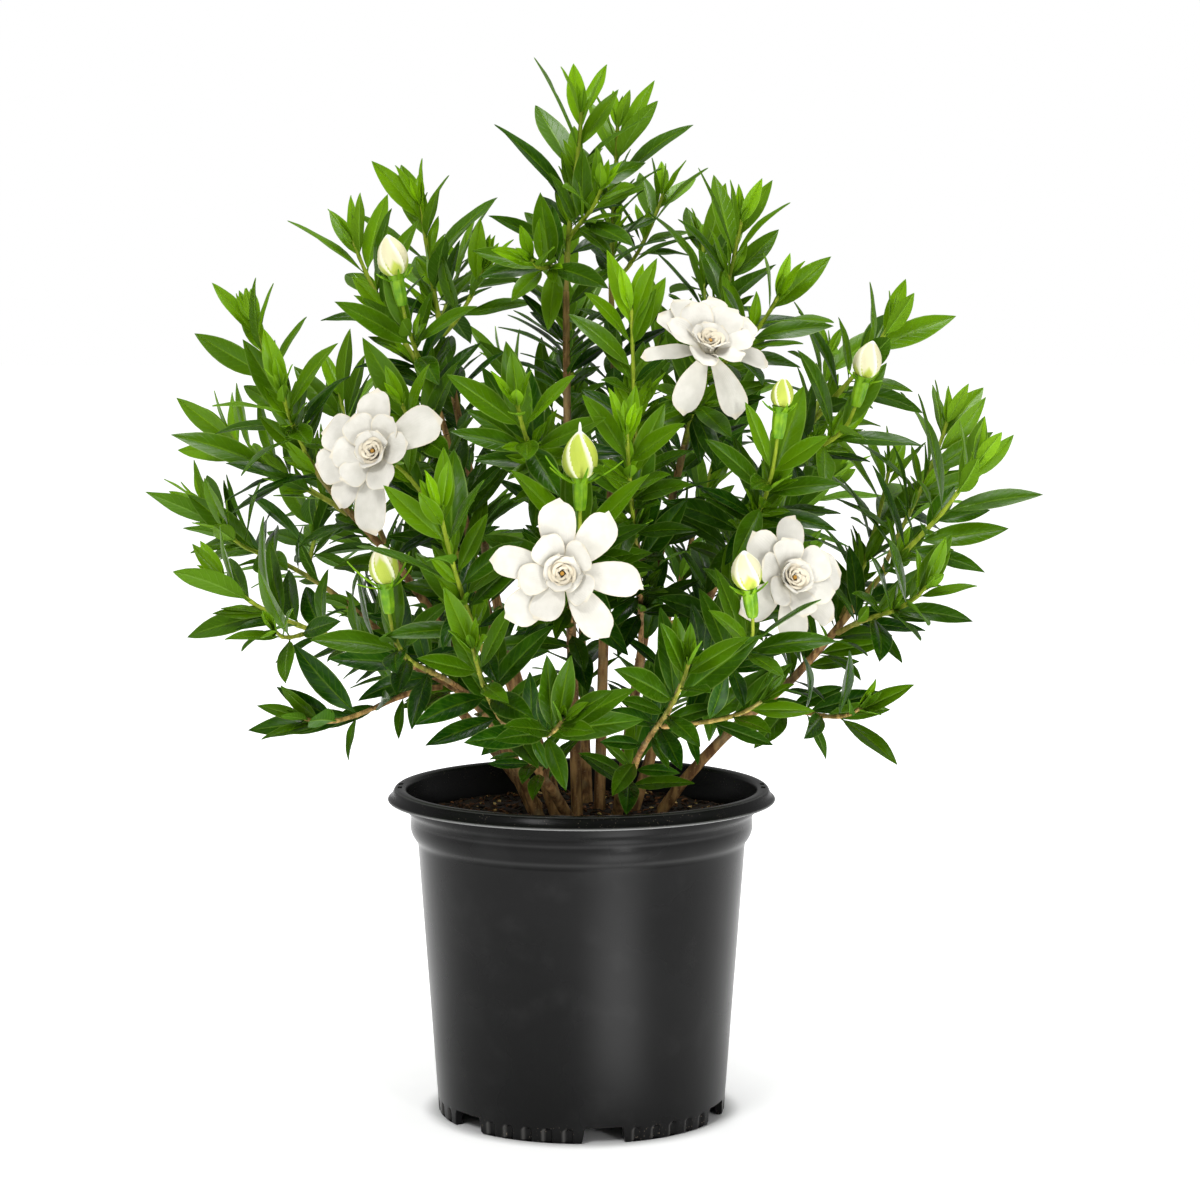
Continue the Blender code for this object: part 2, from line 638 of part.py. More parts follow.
# ---------------------------------------------------------------- shrub
def make_cane(name, route, material, parts):
    """A bare woody cane: a bevelled curve that thins along its length."""
    curve = bpy.data.curves.new(name, "CURVE")
    curve.dimensions = "3D"
    curve.bevel_depth = CANE_BASE_RADIUS
    curve.bevel_resolution = 1
    curve.use_fill_caps = True
    spline = curve.splines.new("POLY")
    spline.points.add(len(route.points) - 1)
    for point, place, spot in zip(spline.points, route.places, route.points):
        point.co = (*spot, 1.0)
        point.radius = cane_radius(route, place) / CANE_BASE_RADIUS
    add_object(name, curve, material, parts)


def build_twig(bm, ring, sprig):
    """Grow a four-sided twig from a ring, then its leaves and side sprigs from its faces."""
    route = sprig.route
    stops = {}
    for leaf in sprig.leaves:
        stops.setdefault(round(leaf.place, 6), []).append(leaf)
    for kid in sprig.kids:
        stops.setdefault(round(kid.place, 6), []).append(kid)
    bands = []
    for place in sorted(stops):
        point, way, _ = route.at(place)
        first = stops[place][0]
        aim = first.along if isinstance(first, Blade) else first.route.points[0] - point
        out = (aim - way * aim.dot(way)).normalized()
        radius = sprig.radius(place)
        ring, _ = bridge(bm, ring, circle(point - way * NODE_HALF, way, out, radius * 1.1, 4))
        ring, faces = bridge(bm, ring, circle(point + way * NODE_HALF, way, out, radius * 1.1, 4))
        bands.append((faces, stops[place], way))
    close_to_point(bm, ring, route.points[-1])
    for faces, growths, way in bands:
        free = list(faces)
        for growth in growths:
            aim = growth.along if isinstance(growth, Blade) else growth.route.ways[0]
            out = (aim - way * aim.dot(way)).normalized()
            for face in free:
                face.normal_update()
            face = max(free, key=lambda f: f.normal.dot(out))
            free.remove(face)
            if isinstance(growth, Blade):
                pull_blade(bm, face, growth, [(LEAF_WIDEST, 1.0)], LEAF_FOLD)
            else:
                ring = list(face.verts)
                bm.faces.remove(face)
                build_twig(bm, ring, growth)


def make_shoot(name, sprig, material, parts):
    bm = bmesh.new()
    point, way, side = sprig.route.at(0.0)
    ring = [bm.verts.new(corner) for corner in circle(point, way, side, sprig.start_radius, 4)]
    bm.faces.new(ring[::-1])
    build_twig(bm, ring, sprig)
    add_object(name, finish_mesh(bm, name), material, parts)


def make_flower(name, material, parts):
    """A double flower: a tube, six outer petals, six inner ones and a rosette."""
    _, _, radius, lift = FLOWERS[name]
    base, facing = bloom_base(name)
    start = facing.orthogonal().normalized()
    count = PETALS_PER_WHORL
    bm = bmesh.new()
    ring = [bm.verts.new(c) for c in circle(base, facing, start, TUBE_RADIUS, count)]
    bm.faces.new(ring[::-1])
    sides = []
    for share, size in HUB_RINGS:
        ring, faces = bridge(bm, ring, circle(base + facing * (TUBE_LENGTH * share), facing, start, size, count))
        sides.append(faces)
    close_to_point(bm, ring, base + facing * (TUBE_LENGTH * HUB_END))
    hub_radius = HUB_RINGS[OUTER_BAND][1]
    whorls = [(sides[OUTER_BAND], lift, radius - hub_radius, 0.58, 0.7),
              (sides[INNER_BAND], INNER_LIFT, radius * 0.55, 0.34, 0.5)]
    for faces, rise, reach, slimness, bend in whorls:
        for face in faces:
            face.normal_update()
            out = face.normal - facing * face.normal.dot(facing)
            out.normalize()
            angle = math.radians(rise) + bend / 2
            along = out * math.cos(angle) + facing * math.sin(angle)
            up = facing * math.cos(angle) - out * math.sin(angle)
            petal = Blade(face.calc_center_median(), along, up, reach, reach * slimness, bend)
            pull_blade(bm, face, petal, PETAL_STATIONS, PETAL_FOLD)
    add_object(name, finish_mesh(bm, name), material, parts)


def make_bud(name, material, parts):
    """A closed bud on the green tube of its calyx."""
    length = BUDS[name][2]
    base, facing = bloom_base(name)
    profile = [(r * BUD_FATNESS * length, CALYX_LENGTH + z * length) for r, z in BUD_SECTION]
    profile += [(CALYX_RADIUS, CALYX_LENGTH), (CALYX_RADIUS * 0.8, 0.0), (0.0, 0.0)]
    bud = turned_mesh(name, profile, BUD_SIDES)
    bud.matrix_world = Matrix.Translation(base) @ UP.rotation_difference(facing).to_matrix().to_4x4()
    bud.data.materials.append(material)
    parts.objects.link(bud)


# ---------------------------------------------------------------- assembly
def main():
    for thing in list(bpy.data.objects):
        bpy.data.objects.remove(thing, do_unlink=True)
    parts = bpy.data.collections.new("potted_gardenia")
    cutters = bpy.data.collections.new("cutters")
    bpy.context.scene.collection.children.link(parts)
    bpy.context.scene.collection.children.link(cutters)

    make_pot(make_material("black_plastic", (0.022, 0.023, 0.025), 0.42), parts, cutters)
    make_soil(make_material("dark_soil", (0.030, 0.017, 0.010), 0.95), parts)
    canes, shoots = grow_shrub()
    for index, route in enumerate(canes):
        bark = make_material(f"bark_{index + 1:02d}", (0.16, 0.09, 0.05), 0.8)
        make_cane(f"cane_{index + 1:02d}", route, bark, parts)
    for index, sprig in enumerate(shoots):
        leaf = make_material(f"leaf_{index + 1:02d}", (0.06, 0.20, 0.02), 0.35)
        make_shoot(f"leafy_shoot_{index + 1:02d}", sprig, leaf, parts)
    for name in FLOWERS:
        make_flower(name, make_material(f"petals_{name}", (0.88, 0.87, 0.82), 0.5), parts)
    for name in BUDS:
        make_bud(name, make_material(f"petals_{name}", (0.72, 0.78, 0.45), 0.5), parts)


main()
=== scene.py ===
"""Looks of the potted gardenia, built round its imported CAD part. Metres, +Z up.

The shrub grows here by the same rule and the same random draws as the part, so each of the part's
leaves and stems starts where its CAD solid does. The leaves are then rolled towards the light, the
lowest are made smaller, and smaller growth is added between them.
"""

import math
import random
from dataclasses import dataclass, field, replace

import bpy
from mathutils import Matrix, Vector, noise
from mathutils.bvhtree import BVHTree
from mathutils.geometry import interpolate_bezier


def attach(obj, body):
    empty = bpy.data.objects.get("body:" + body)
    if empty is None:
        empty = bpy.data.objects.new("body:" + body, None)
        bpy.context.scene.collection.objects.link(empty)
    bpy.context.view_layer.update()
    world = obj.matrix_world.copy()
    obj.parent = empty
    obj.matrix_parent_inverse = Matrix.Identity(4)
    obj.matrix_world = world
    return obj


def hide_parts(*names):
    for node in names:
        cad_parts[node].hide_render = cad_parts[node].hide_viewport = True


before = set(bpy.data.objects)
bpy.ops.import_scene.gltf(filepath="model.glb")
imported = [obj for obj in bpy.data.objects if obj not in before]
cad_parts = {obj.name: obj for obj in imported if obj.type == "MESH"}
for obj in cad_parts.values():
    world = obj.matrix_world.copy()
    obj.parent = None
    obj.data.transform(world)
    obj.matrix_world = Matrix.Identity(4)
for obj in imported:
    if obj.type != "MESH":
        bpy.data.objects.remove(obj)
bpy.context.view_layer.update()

# ---------------------------------------------------------------- driving dimensions
POT_HEIGHT = 0.236
NOTCH_COUNT = 6
NOTCH_TURN = math.radians(8.7)

SOIL_TOP = 0.2130
SOIL_SINK = 0.003           # how much lower the soil lies at the pot's wall
CONTACT_GAP = 0.0004        # left between pieces that touch

CANE_BASE_RADIUS = 0.0042
CANE_TIP_RADIUS = 0.0023
CANE_STEPS = 3              # route points between two guide points
TWIG_BASE_RADIUS = 0.0021
TWIG_TIP_RADIUS = 0.0012
KID_BASE_RADIUS = 0.0017    # of a side sprig
CANE_CLEARANCE = 0.0006     # kept free round a cane, beside the leaves
TWIG_CLEARANCE = 0.0005
NODE_HALF = 0.0013          # half the length of the band that a leaf pair leaves from
LEAF_THICKNESS = 0.0010
LEAF_CLEARANCE = 0.0008
LEAF_RISE = 0.12            # how much leaves turn up towards the light
FIRST_INTERNODE = 0.0095
LAST_INTERNODE = 0.0195
INTERNODE_GROWTH = 1.35
THIRD_LEAF_CHANCE = 0.18
LEAF_TRIES = 7
TIP_CLEAR = 0.003           # bare end of a shoot
BLOOM_CLEAR = 0.024         # bare end of a shoot that carries a flower or bud
BARE_SHARE = 0.12           # leafless foot of a shoot: a share of its length and a length
BARE_LENGTH = 0.006
BASE_CLEAR = 0.0045         # how far off its twig a leaf is first tested for room

TUBE_LENGTH = 0.026         # the corolla tube behind an open flower
CALYX_LENGTH = 0.021        # the green tube behind a bud's petals
BUD_FATNESS = 0.39          # a bud's radius over the length of its petals
CALYX_RADIUS = 0.0046
SEED = 97                   # of the growth that the CAD part also has
LOOK_SEED = 5               # of the smaller growth and the look of each piece
ROUTE_STEP = 0.012          # between the points of a shoot's route

# Each cane: the guide points of its bare wood, then the tip of the shoot that ends it.
CANES = [
    [(0.058, 0.010), (0.102, 0.000, 0.271), (0.151, -0.020, 0.317), (0.198, -0.045, 0.378)],
    [(-0.003, 0.000), (-0.008, 0.000, 0.370), (-0.010, 0.000, 0.485), (-0.011, 0.000, 0.590)],
    [(0.013, 0.018), (0.017, 0.030, 0.367), (0.024, 0.050, 0.496), (0.022, 0.060, 0.575)],
    [(-0.016, 0.020), (-0.055, 0.030, 0.338), (-0.084, 0.040, 0.475), (-0.098, 0.040, 0.545)],
    [(-0.018, -0.010), (-0.065, -0.020, 0.358), (-0.095, -0.030, 0.490)],
    [(-0.034, 0.004), (-0.108, 0.000, 0.363), (-0.170, -0.010, 0.440)],
    [(-0.032, 0.026), (-0.103, 0.045, 0.300), (-0.174, 0.065, 0.362)],
    [(-0.030, -0.018), (-0.065, -0.035, 0.290), (-0.110, -0.050, 0.326), (-0.160, -0.060, 0.346)],
    [(-0.008, -0.034), (-0.040, -0.090, 0.275)],
    [(0.024, -0.030), (0.038, -0.100, 0.270)],
    [(0.026, 0.002), (0.049, -0.005, 0.370), (0.077, -0.010, 0.499)],
    [(0.038, 0.022), (0.085, 0.015, 0.355), (0.127, 0.005, 0.442), (0.150, -0.005, 0.480)],
    [(0.030, 0.042), (0.055, 0.090, 0.310)],
    [(-0.022, 0.044), (-0.055, 0.095, 0.300)],
    [(0.004, 0.050), (0.000, 0.105, 0.350)],
]

# Open flowers: centre, facing, radius.
FLOWERS = {
    "flower_front": ((-0.012, -0.235, 0.412), (-0.05, -1.0, 0.12), 0.051),
    "flower_left": ((-0.137, -0.135, 0.483), (-0.35, -0.85, 0.30), 0.046),
    "flower_upper_right": ((0.085, -0.130, 0.553), (0.15, -0.65, 0.75), 0.042),
    "flower_lower_right": ((0.138, -0.160, 0.400), (0.45, -0.80, 0.35), 0.040),
}
# Closed buds: middle of the petals, the way they point, length of the petals.
BUDS = {
    "bud_front": ((-0.001, -0.200, 0.488), (0.0, -0.05, 1.0), 0.034),
    "bud_left": ((-0.132, -0.165, 0.413), (-0.10, -0.20, 1.0), 0.029),
    "bud_upper_left": ((-0.130, -0.080, 0.617), (-0.20, -0.10, 1.0), 0.031),
    "bud_right": ((0.197, -0.080, 0.546), (0.25, -0.15, 1.0), 0.028),
    "bud_lower_right": ((0.107, -0.215, 0.414), (-0.15, -0.35, 1.0), 0.029),
    "bud_small": ((0.134, -0.150, 0.526), (0.10, -0.10, 1.0), 0.022),
}

# Each shoot: the cane it leaves, how far along that cane, where it ends (a point, or the
# flower or bud that it carries), and its side sprigs as (how far along the shoot, end).
SHOOTS = [
    (0, 1.0, (0.270, -0.090, 0.474), [(0.15, (0.262, 0.020, 0.497))]),
    (1, 1.0, (0.000, 0.000, 0.716), [(0.10, (-0.034, -0.075, 0.612)), (0.3, (0.014, -0.055, 0.662))]),
    (2, 1.0, (0.026, 0.055, 0.708), [(0.15, (0.060, 0.100, 0.660))]),
    (3, 1.0, (-0.115, 0.040, 0.652), [(0.12, (-0.070, 0.015, 0.607)), (0.2, (-0.090, 0.115, 0.610))]),
    (4, 1.0, (-0.160, -0.020, 0.626), [(0.30, "bud_upper_left")]),
    (5, 1.0, (-0.232, -0.015, 0.570), [(0.30, (-0.205, -0.090, 0.525))]),
    (6, 1.0, (-0.282, 0.100, 0.433), [(0.40, (-0.255, 0.020, 0.418)), (0.25, (-0.200, 0.160, 0.425))]),
    (7, 1.0, (-0.250, -0.060, 0.392), [(0.25, (-0.208, -0.125, 0.362))]),
    (8, 1.0, (-0.071, -0.215, 0.362), [(0.30, (-0.012, -0.240, 0.318))]),
    (9, 1.0, (0.070, -0.215, 0.352), [(0.40, (0.120, -0.180, 0.322))]),
    (10, 1.0, (0.112, -0.020, 0.640), [(0.22, (0.135, -0.075, 0.588)), (0.35, (0.088, 0.060, 0.625))]),
    (11, 1.0, (0.218, -0.020, 0.570), [(0.20, (0.180, 0.060, 0.545))]),
    (12, 1.0, (0.115, 0.210, 0.520), [(0.15, (0.160, 0.120, 0.385)), (0.35, (0.190, 0.180, 0.445)),
                                      (0.50, (0.055, 0.235, 0.462))]),
    (13, 1.0, (-0.135, 0.215, 0.490), [(0.15, (-0.165, 0.130, 0.345)), (0.35, (-0.200, 0.175, 0.440)),
                                       (0.50, (-0.075, 0.240, 0.410))]),
    (14, 1.0, (-0.010, 0.185, 0.605), [(0.15, (0.020, 0.215, 0.420)), (0.35, (0.060, 0.180, 0.555)),
                                       (0.55, (-0.062, 0.220, 0.530))]),
    (4, 0.86, (-0.122, -0.105, 0.515), []),
    (5, 0.80, (-0.178, 0.085, 0.515), []),
    (5, 0.92, (-0.255, 0.035, 0.488), []),
    (4, 0.55, "flower_left", []),
    (7, 0.50, "bud_left", []),
    (8, 0.90, (-0.092, -0.215, 0.452), []),
    (1, 0.56, (-0.042, -0.195, 0.520), []),
    (1, 0.43, "bud_front", []),
    (1, 0.25, "flower_front", []),
    (10, 0.40, (0.030, -0.175, 0.500), [(0.40, (0.034, -0.110, 0.580))]),
    (10, 0.93, "flower_upper_right", []),
    (11, 0.60, "bud_small", []),
    (10, 0.25, "flower_lower_right", [(0.45, "bud_lower_right")]),
    (11, 0.90, "bud_right", []),
    (0, 0.80, (0.235, -0.115, 0.392), []),
    (0, 0.45, (0.192, -0.100, 0.306), []),
    (7, 0.60, (-0.190, -0.110, 0.300), []),
    (0, 0.86, (0.222, 0.036, 0.460), []),
]

# How a leaf changes with its place, counted in pairs down from the tip of its shoot.
LEAF_LENGTHS = [0.032, 0.048, 0.060, 0.063, 0.058, 0.052]
LEAF_ANGLES = [20, 28, 38, 47, 54, 60]        # degrees away from the shoot
LEAF_BENDS = [0.10, 0.20, 0.30, 0.38, 0.44, 0.50]   # radians that the blade curls over
LEAF_SLIMNESS = 0.25        # width over length
LEAF_FOLD = 0.25            # rise of a leaf's edges over its midrib, over its half-width

UP = Vector((0, 0, 1))


# ---------------------------------------------------------------- shared shapes
def spoke(side, across, angle):
    """The unit vector at an angle in the plane of two crossed unit vectors."""
    return side * math.cos(angle) + across * math.sin(angle)


def round_ring(centre, side, across, radius, sides):
    """The corners of a regular ring."""
    return [centre + spoke(side, across, 2 * math.pi * k / sides) * radius for k in range(sides)]


def band_faces(first, bands, sides):
    """The four-cornered faces between rings that follow each other in a list of corners."""
    faces = []
    for band in range(bands):
        low = first + band * sides
        for k in range(sides):
            n = (k + 1) % sides
            faces.append((low + k, low + n, low + sides + n, low + sides + k))
    return faces


def clamp(value, low=0.0, high=1.0):
    return min(max(value, low), high)


# ---------------------------------------------------------------- growth plan
class Route:
    """A smooth line with a direction and an untwisted side vector at each point."""

    def __init__(self, points):
        self.points = points
        self.places = [0.0]
        for a, b in zip(points, points[1:]):
            self.places.append(self.places[-1] + (b - a).length)
        self.length = self.places[-1]
        last = len(points) - 1
        self.ways = [(points[min(i + 1, last)] - points[max(i - 1, 0)]).normalized()
                     for i in range(last + 1)]
        self.sides = [self.ways[0].orthogonal().normalized()]
        for way in self.ways[1:]:
            side = self.sides[-1]
            self.sides.append((side - way * side.dot(way)).normalized())

    def at(self, place):
        """Point, direction and side vector at a distance along the line."""
        place = clamp(place, 0.0, self.length)
        i = 0
        while i < len(self.places) - 2 and self.places[i + 1] < place:
            i += 1
        part = (place - self.places[i]) / (self.places[i + 1] - self.places[i])
        way = self.ways[i].lerp(self.ways[i + 1], part).normalized()
        side = self.sides[i].lerp(self.sides[i + 1], part)
        side = (side - way * side.dot(way)).normalized()
        return self.points[i].lerp(self.points[i + 1], part), way, side


@dataclass
class Blade:
    """A leaf or petal: an arc from its base, with a half-width at each station."""
    base: Vector
    along: Vector
    up: Vector
    length: float
    width: float
    bend: float
    place: float = 0.0      # distance along the twig that it leaves
    order: int = 0          # pairs down from the shoot's tip

    def frame(self, u):
        """Centre, direction, side and upper normal at fraction u of the blade."""
        turn = self.bend * u
        run = math.sin(turn) / self.bend * self.length
        drop = (1 - math.cos(turn)) / self.bend * self.length
        centre = self.base + self.along * run - self.up * drop
        along = self.along * math.cos(turn) - self.up * math.sin(turn)
        up = spoke(self.up, self.along, turn)
        return centre, along, up.cross(along), up

    def ring(self, u, share, grow):
        """Right edge, top, left edge and keel of the blade at fraction u."""
        centre, _, side, up = self.frame(u)
        half = self.width / 2 * share
        lift = up * (half * LEAF_FOLD)
        thick = up * (LEAF_THICKNESS / 2 + grow)
        side = side * (half + grow)
        return [centre + side + lift, centre + thick, centre - side + lift, centre - thick]

    def tip(self, grow):
        """The end of the blade, a little past its length."""
        return self.frame(1.0 + grow / self.length)[0]


@dataclass
class Sprig:
    """A leafy twig with its leaves and side sprigs."""
    route: Route
    start_radius: float
    end_radius: float
    leaves: list = field(default_factory=list)
    kids: list = field(default_factory=list)
    place: float = 0.0      # distance along the twig that it leaves
    blooming: bool = False  # whether it carries a flower or bud

    def radius(self, place):
        part = place / self.route.length
        return self.start_radius + (self.end_radius - self.start_radius) * part


class Room:
    """What has grown so far, for keeping new growth clear of it."""

    def __init__(self):
        self.taken = []

    def is_free(self, verts, faces):
        low, high = box_of(verts)
        tree = None
        for other, other_low, other_high in self.taken:
            if any(low[k] > other_high[k] or high[k] < other_low[k] for k in range(3)):
                continue
            if tree is None:
                tree = BVHTree.FromPolygons(verts, faces)
            if tree.overlap(other):
                return False
        return True

    def take(self, verts, faces):
        low, high = box_of(verts)
        self.taken.append((BVHTree.FromPolygons(verts, faces), low, high))


def box_of(verts):
    return ([min(v[k] for v in verts) for k in range(3)],
            [max(v[k] for v in verts) for k in range(3)])


def tube_shape(route, radius_at, sides=5):
    """Corners and faces of a plain tube along a route."""
    steps = max(2, int(route.length / ROUTE_STEP))
    verts = []
    for i in range(steps + 1):
        place = route.length * i / steps
        centre, way, side = route.at(place)
        verts += round_ring(centre, side, way.cross(side), radius_at(place), sides)
    return verts, band_faces(0, steps, sides)


def blade_shape(blade, grow, start):
    """Corners and faces of a leaf as it is tested for room, from a fraction of its length on."""
    rings = [blade.ring(u, share, grow) for u, share in ((start, 0.35), (0.45, 1.0), (0.70, 0.8))]
    verts = [corner for ring in rings for corner in ring] + [blade.tip(grow)]
    faces = band_faces(0, 2, 4)
    faces += [(8 + k, 8 + (k + 1) % 4, 12) for k in range(4)]
    faces.append((3, 2, 1, 0))
    return verts, faces


def cane_route(guides):
    """A smooth cane through its guide points, rooted just above the soil."""
    points = [Vector((*guides[0], SOIL_TOP))] + [Vector(p) for p in guides[1:]]
    last = len(points) - 1
    pulls = [(points[min(i + 1, last)] - points[max(i - 1, 0)]) / 6 for i in range(last + 1)]
    pulls[0] = (points[1] - points[0] + UP * 0.02) / 4
    lean = pulls[0].angle(UP)
    points[0].z += CANE_BASE_RADIUS * math.sin(lean) + 2 * CONTACT_GAP
    line = []
    for i in range(last):
        piece = interpolate_bezier(points[i], points[i] + pulls[i], points[i + 1] - pulls[i + 1],
                                   points[i + 1], CANE_STEPS + 1)
        line += piece[1:] if line else piece
    return Route(line)


def cane_radius(route, place):
    return CANE_BASE_RADIUS + (CANE_TIP_RADIUS - CANE_BASE_RADIUS) * place / route.length


def bloom_base(name):
    """Where a flower or bud joins its stalk, and the way it points."""
    if name in FLOWERS:
        centre, facing = FLOWERS[name][:2]
        reach = TUBE_LENGTH
    else:
        centre, facing, length = BUDS[name]
        reach = length / 2 + CALYX_LENGTH
    facing = Vector(facing).normalized()
    return Vector(centre) - facing * reach, facing


def sprig_route(start, leaving, end):
    """A twig's line from a start, first along one direction, up to its end."""
    if isinstance(end, str):
        goal, end_way = bloom_base(end)
        goal = goal - end_way * CONTACT_GAP
    else:
        goal = Vector(end)
        end_way = ((goal - start).normalized() + UP * 0.55).normalized()
    reach = (goal - start).length / 3
    count = max(6, int(reach * 3 / ROUTE_STEP))
    return Route(interpolate_bezier(start, start + leaving * reach, goal - end_way * reach, goal, count))


def plan_leaf(rng, room, route, radius, place, azimuth, order, youth):
    """A leaf at a place on a twig, turned a little until it fits; None if it never does."""
    point, way, side = route.at(place)
    across = way.cross(side)
    step = min(order, len(LEAF_LENGTHS) - 1)
    for attempt in range(LEAF_TRIES):
        spread = 0.10 + 0.09 * attempt
        angle = azimuth + rng.uniform(-spread, spread)
        out = spoke(side, across, angle)
        open_angle = math.radians(LEAF_ANGLES[step] + rng.uniform(-8, 8) * (1 + attempt * 0.3))
        along = (spoke(way, out, open_angle) + UP * LEAF_RISE).normalized()
        facing = way * 0.6 + UP * 0.5 - out * 0.2
        up = (facing - along * facing.dot(along)).normalized()
        length = LEAF_LENGTHS[step] * youth * rng.uniform(0.78, 1.25)
        bend = LEAF_BENDS[step] * rng.uniform(0.3, 1.4)
        leaf = Blade(point + out * radius * 0.5, along, up, length, length * LEAF_SLIMNESS,
                     bend, place, order)
        start = min(0.35, BASE_CLEAR / (length * math.sin(open_angle)))
        if room.is_free(*blade_shape(leaf, LEAF_CLEARANCE, start)):
            room.take(*blade_shape(leaf, 0.0, 0.05))
            return leaf
    return None


def add_leaves(rng, room, sprig):
    """Crossed pairs of leaves from the tip of a twig down, with longer gaps as they go."""
    route = sprig.route
    place = route.length - (BLOOM_CLEAR if sprig.blooming else TIP_CLEAR)
    gap = FIRST_INTERNODE
    azimuth = rng.uniform(0, 2 * math.pi)
    youth = rng.uniform(0.92, 1.08) * min(1.0, 0.72 + route.length * 2.5)
    order = 2 if sprig.blooming else 0
    used = [kid.place for kid in sprig.kids]
    while place > BARE_SHARE * route.length + BARE_LENGTH:
        turns = [0.0, math.pi]
        if rng.random() < THIRD_LEAF_CHANCE:
            turns.append(math.pi / 2)
        if all(abs(place - kid_place) > 3 * NODE_HALF for kid_place in used):
            for turn in turns:
                leaf = plan_leaf(rng, room, route, sprig.radius(place), place, azimuth + turn, order, youth)
                if leaf:
                    sprig.leaves.append(leaf)
        azimuth += math.pi / 2 + rng.uniform(-0.25, 0.25)
        place -= gap
        gap = min(gap * INTERNODE_GROWTH, LAST_INTERNODE)
        order += 1


def grow_shrub():
    """The routes of the canes and the planned shoots, in order."""
    rng = random.Random(SEED)
    room = Room()
    canes = [cane_route(guides) for guides in CANES]
    for cane in canes:
        room.take(*tube_shape(cane, lambda place, cane=cane: cane_radius(cane, place) + CANE_CLEARANCE, 6))
    for name in list(FLOWERS) + list(BUDS):
        room.take(*bloom_shape(name))
    shoots = []
    for number, share, end, kids in SHOOTS:
        cane = canes[number]
        point, way, _ = cane.at(cane.length * share)
        goal = bloom_base(end)[0] if isinstance(end, str) else Vector(end)
        if share == 1.0:
            leaving = way
            start = point + way * CONTACT_GAP
        else:
            leaving = ((goal - point).normalized() + way * 0.35).normalized()
            slant = leaving.dot(way)
            reach = cane_radius(cane, cane.length * share) * 1.06 + CONTACT_GAP + TWIG_BASE_RADIUS * slant
            start = point + leaving * (reach / math.sqrt(1 - slant * slant))
        sprig = Sprig(sprig_route(start, leaving, end), TWIG_BASE_RADIUS, TWIG_TIP_RADIUS,
                      blooming=isinstance(end, str))
        for kid_share, kid_end in kids:
            place = sprig.route.length * kid_share
            point, way, _ = sprig.route.at(place)
            kid_goal = bloom_base(kid_end)[0] if isinstance(kid_end, str) else Vector(kid_end)
            away = (kid_goal - point).normalized()
            out = (away - way * away.dot(way)).normalized()
            leaving = (out + way * 0.6).normalized()
            kid = Sprig(sprig_route(point + out * sprig.radius(place), leaving, kid_end),
                        KID_BASE_RADIUS, TWIG_TIP_RADIUS, place=place, blooming=isinstance(kid_end, str))
            sprig.kids.append(kid)
        shoots.append(sprig)
        for twig in [sprig] + sprig.kids:
            room.take(*tube_shape(twig.route, lambda place, twig=twig: twig.radius(place) + TWIG_CLEARANCE))
    for sprig in shoots:
        for twig in [sprig] + sprig.kids:
            add_leaves(rng, room, twig)
    return canes, shoots, room


def bloom_shape(name):
    """A plain spindle around a flower or bud, for keeping leaves out of it."""
    base, facing = bloom_base(name)
    if name in FLOWERS:
        radius = FLOWERS[name][2]
        rings = [(0.2, 0.006), (0.4, radius), (1.3, radius), (1.9, 0.016)]
        reach = TUBE_LENGTH
    else:
        length = BUDS[name][2]
        reach = CALYX_LENGTH + length
        fat = BUD_FATNESS * length
        rings = [(0.02, 0.0048), (0.38, 0.0058), (0.55, fat + 0.001), (0.75, fat), (1.04, 0.002)]
    sides = 10
    side = facing.orthogonal().normalized()
    across = facing.cross(side)
    verts = []
    for share, radius in rings:
        verts += round_ring(base + facing * (reach * share), side, across, radius, sides)
    faces = band_faces(0, len(rings) - 1, sides)
    faces.append(tuple(range(sides))[::-1])
    faces.append(tuple(range((len(rings) - 1) * sides, len(rings) * sides)))
    return verts, faces


# ---------------------------------------------------------------- smaller growth
LEAF_TONES = [0.95, 0.66, 0.42, 0.26, 0.15, 0.07]     # from the tip of a shoot down
FACE_TURN = (0.25, 0.95)    # least and most that a leaf turns to the light
# Leaves and stems lose tone below these heights: the lowest are the oldest, and on leaves it is also painted
# shade.
LOW_TONE_HEIGHT = 0.24
FULL_TONE_HEIGHT = 0.46
LOWEST_TONE_SHARE = 0.30
LOWEST_EXTRA = 0.36         # no small growth below this height
CROWN_REACH = 0.26          # how far from the axis the light from outside has full weight
BLOOM_CENTRES = [Vector(bloom[0]) for bloom in [*FLOWERS.values(), *BUDS.values()]]
BLOOM_SPACE = 0.026         # kept free round the middle of a bloom, as seen from in front
RIM_MARGIN = 0.034          # leaves that hang lower over the rim than this are small ones
LOW_LEAF_SIZE = 0.58
TUFT_CHANCE = 0.60
TUFT_ORDER = 3              # the first pair, from the tip down, that has tufts
TUFT_TURNS = (-0.55, 0.55, 0.0)
BETWEEN_START = 0.052       # from the tip down to the first leaves between the pairs
BETWEEN_STEP = 0.010
BETWEEN_SPACE = 0.004       # kept free beside a planned pair
CANE_LEAF_SPAN = (0.44, 0.97)   # of a cane's length, with leaves
CANE_LEAF_CHANCE = 0.9
SPEAR_COUNT = 4


@dataclass
class Look:
    """How one leaf differs from its plan."""
    tone: float             # 0 old and dark, 1 young and yellow-green; lowered as painted shade on low and inner leaves
    shade: float
    twist: float
    sweep: float
    phase: float
    ripple: float
    turned: float           # how far the blade turns its face to the light


def make_look(rng, tone):
    return Look(clamp(tone + rng.uniform(-0.12, 0.12)), rng.uniform(0.0, 1.0),
                rng.uniform(-0.45, 0.45), rng.uniform(-0.07, 0.07), rng.uniform(0, 2 * math.pi),
                rng.uniform(0.4, 1.0), rng.uniform(*FACE_TURN))


def edge_on(leaf):
    """The same leaf, rolled about its midrib until its edge points to the front."""
    up = leaf.along.cross(Vector((0.0, 1.0, 0.0)))
    return replace(leaf, up=up.normalized() if up.z > 0 else -up.normalized())


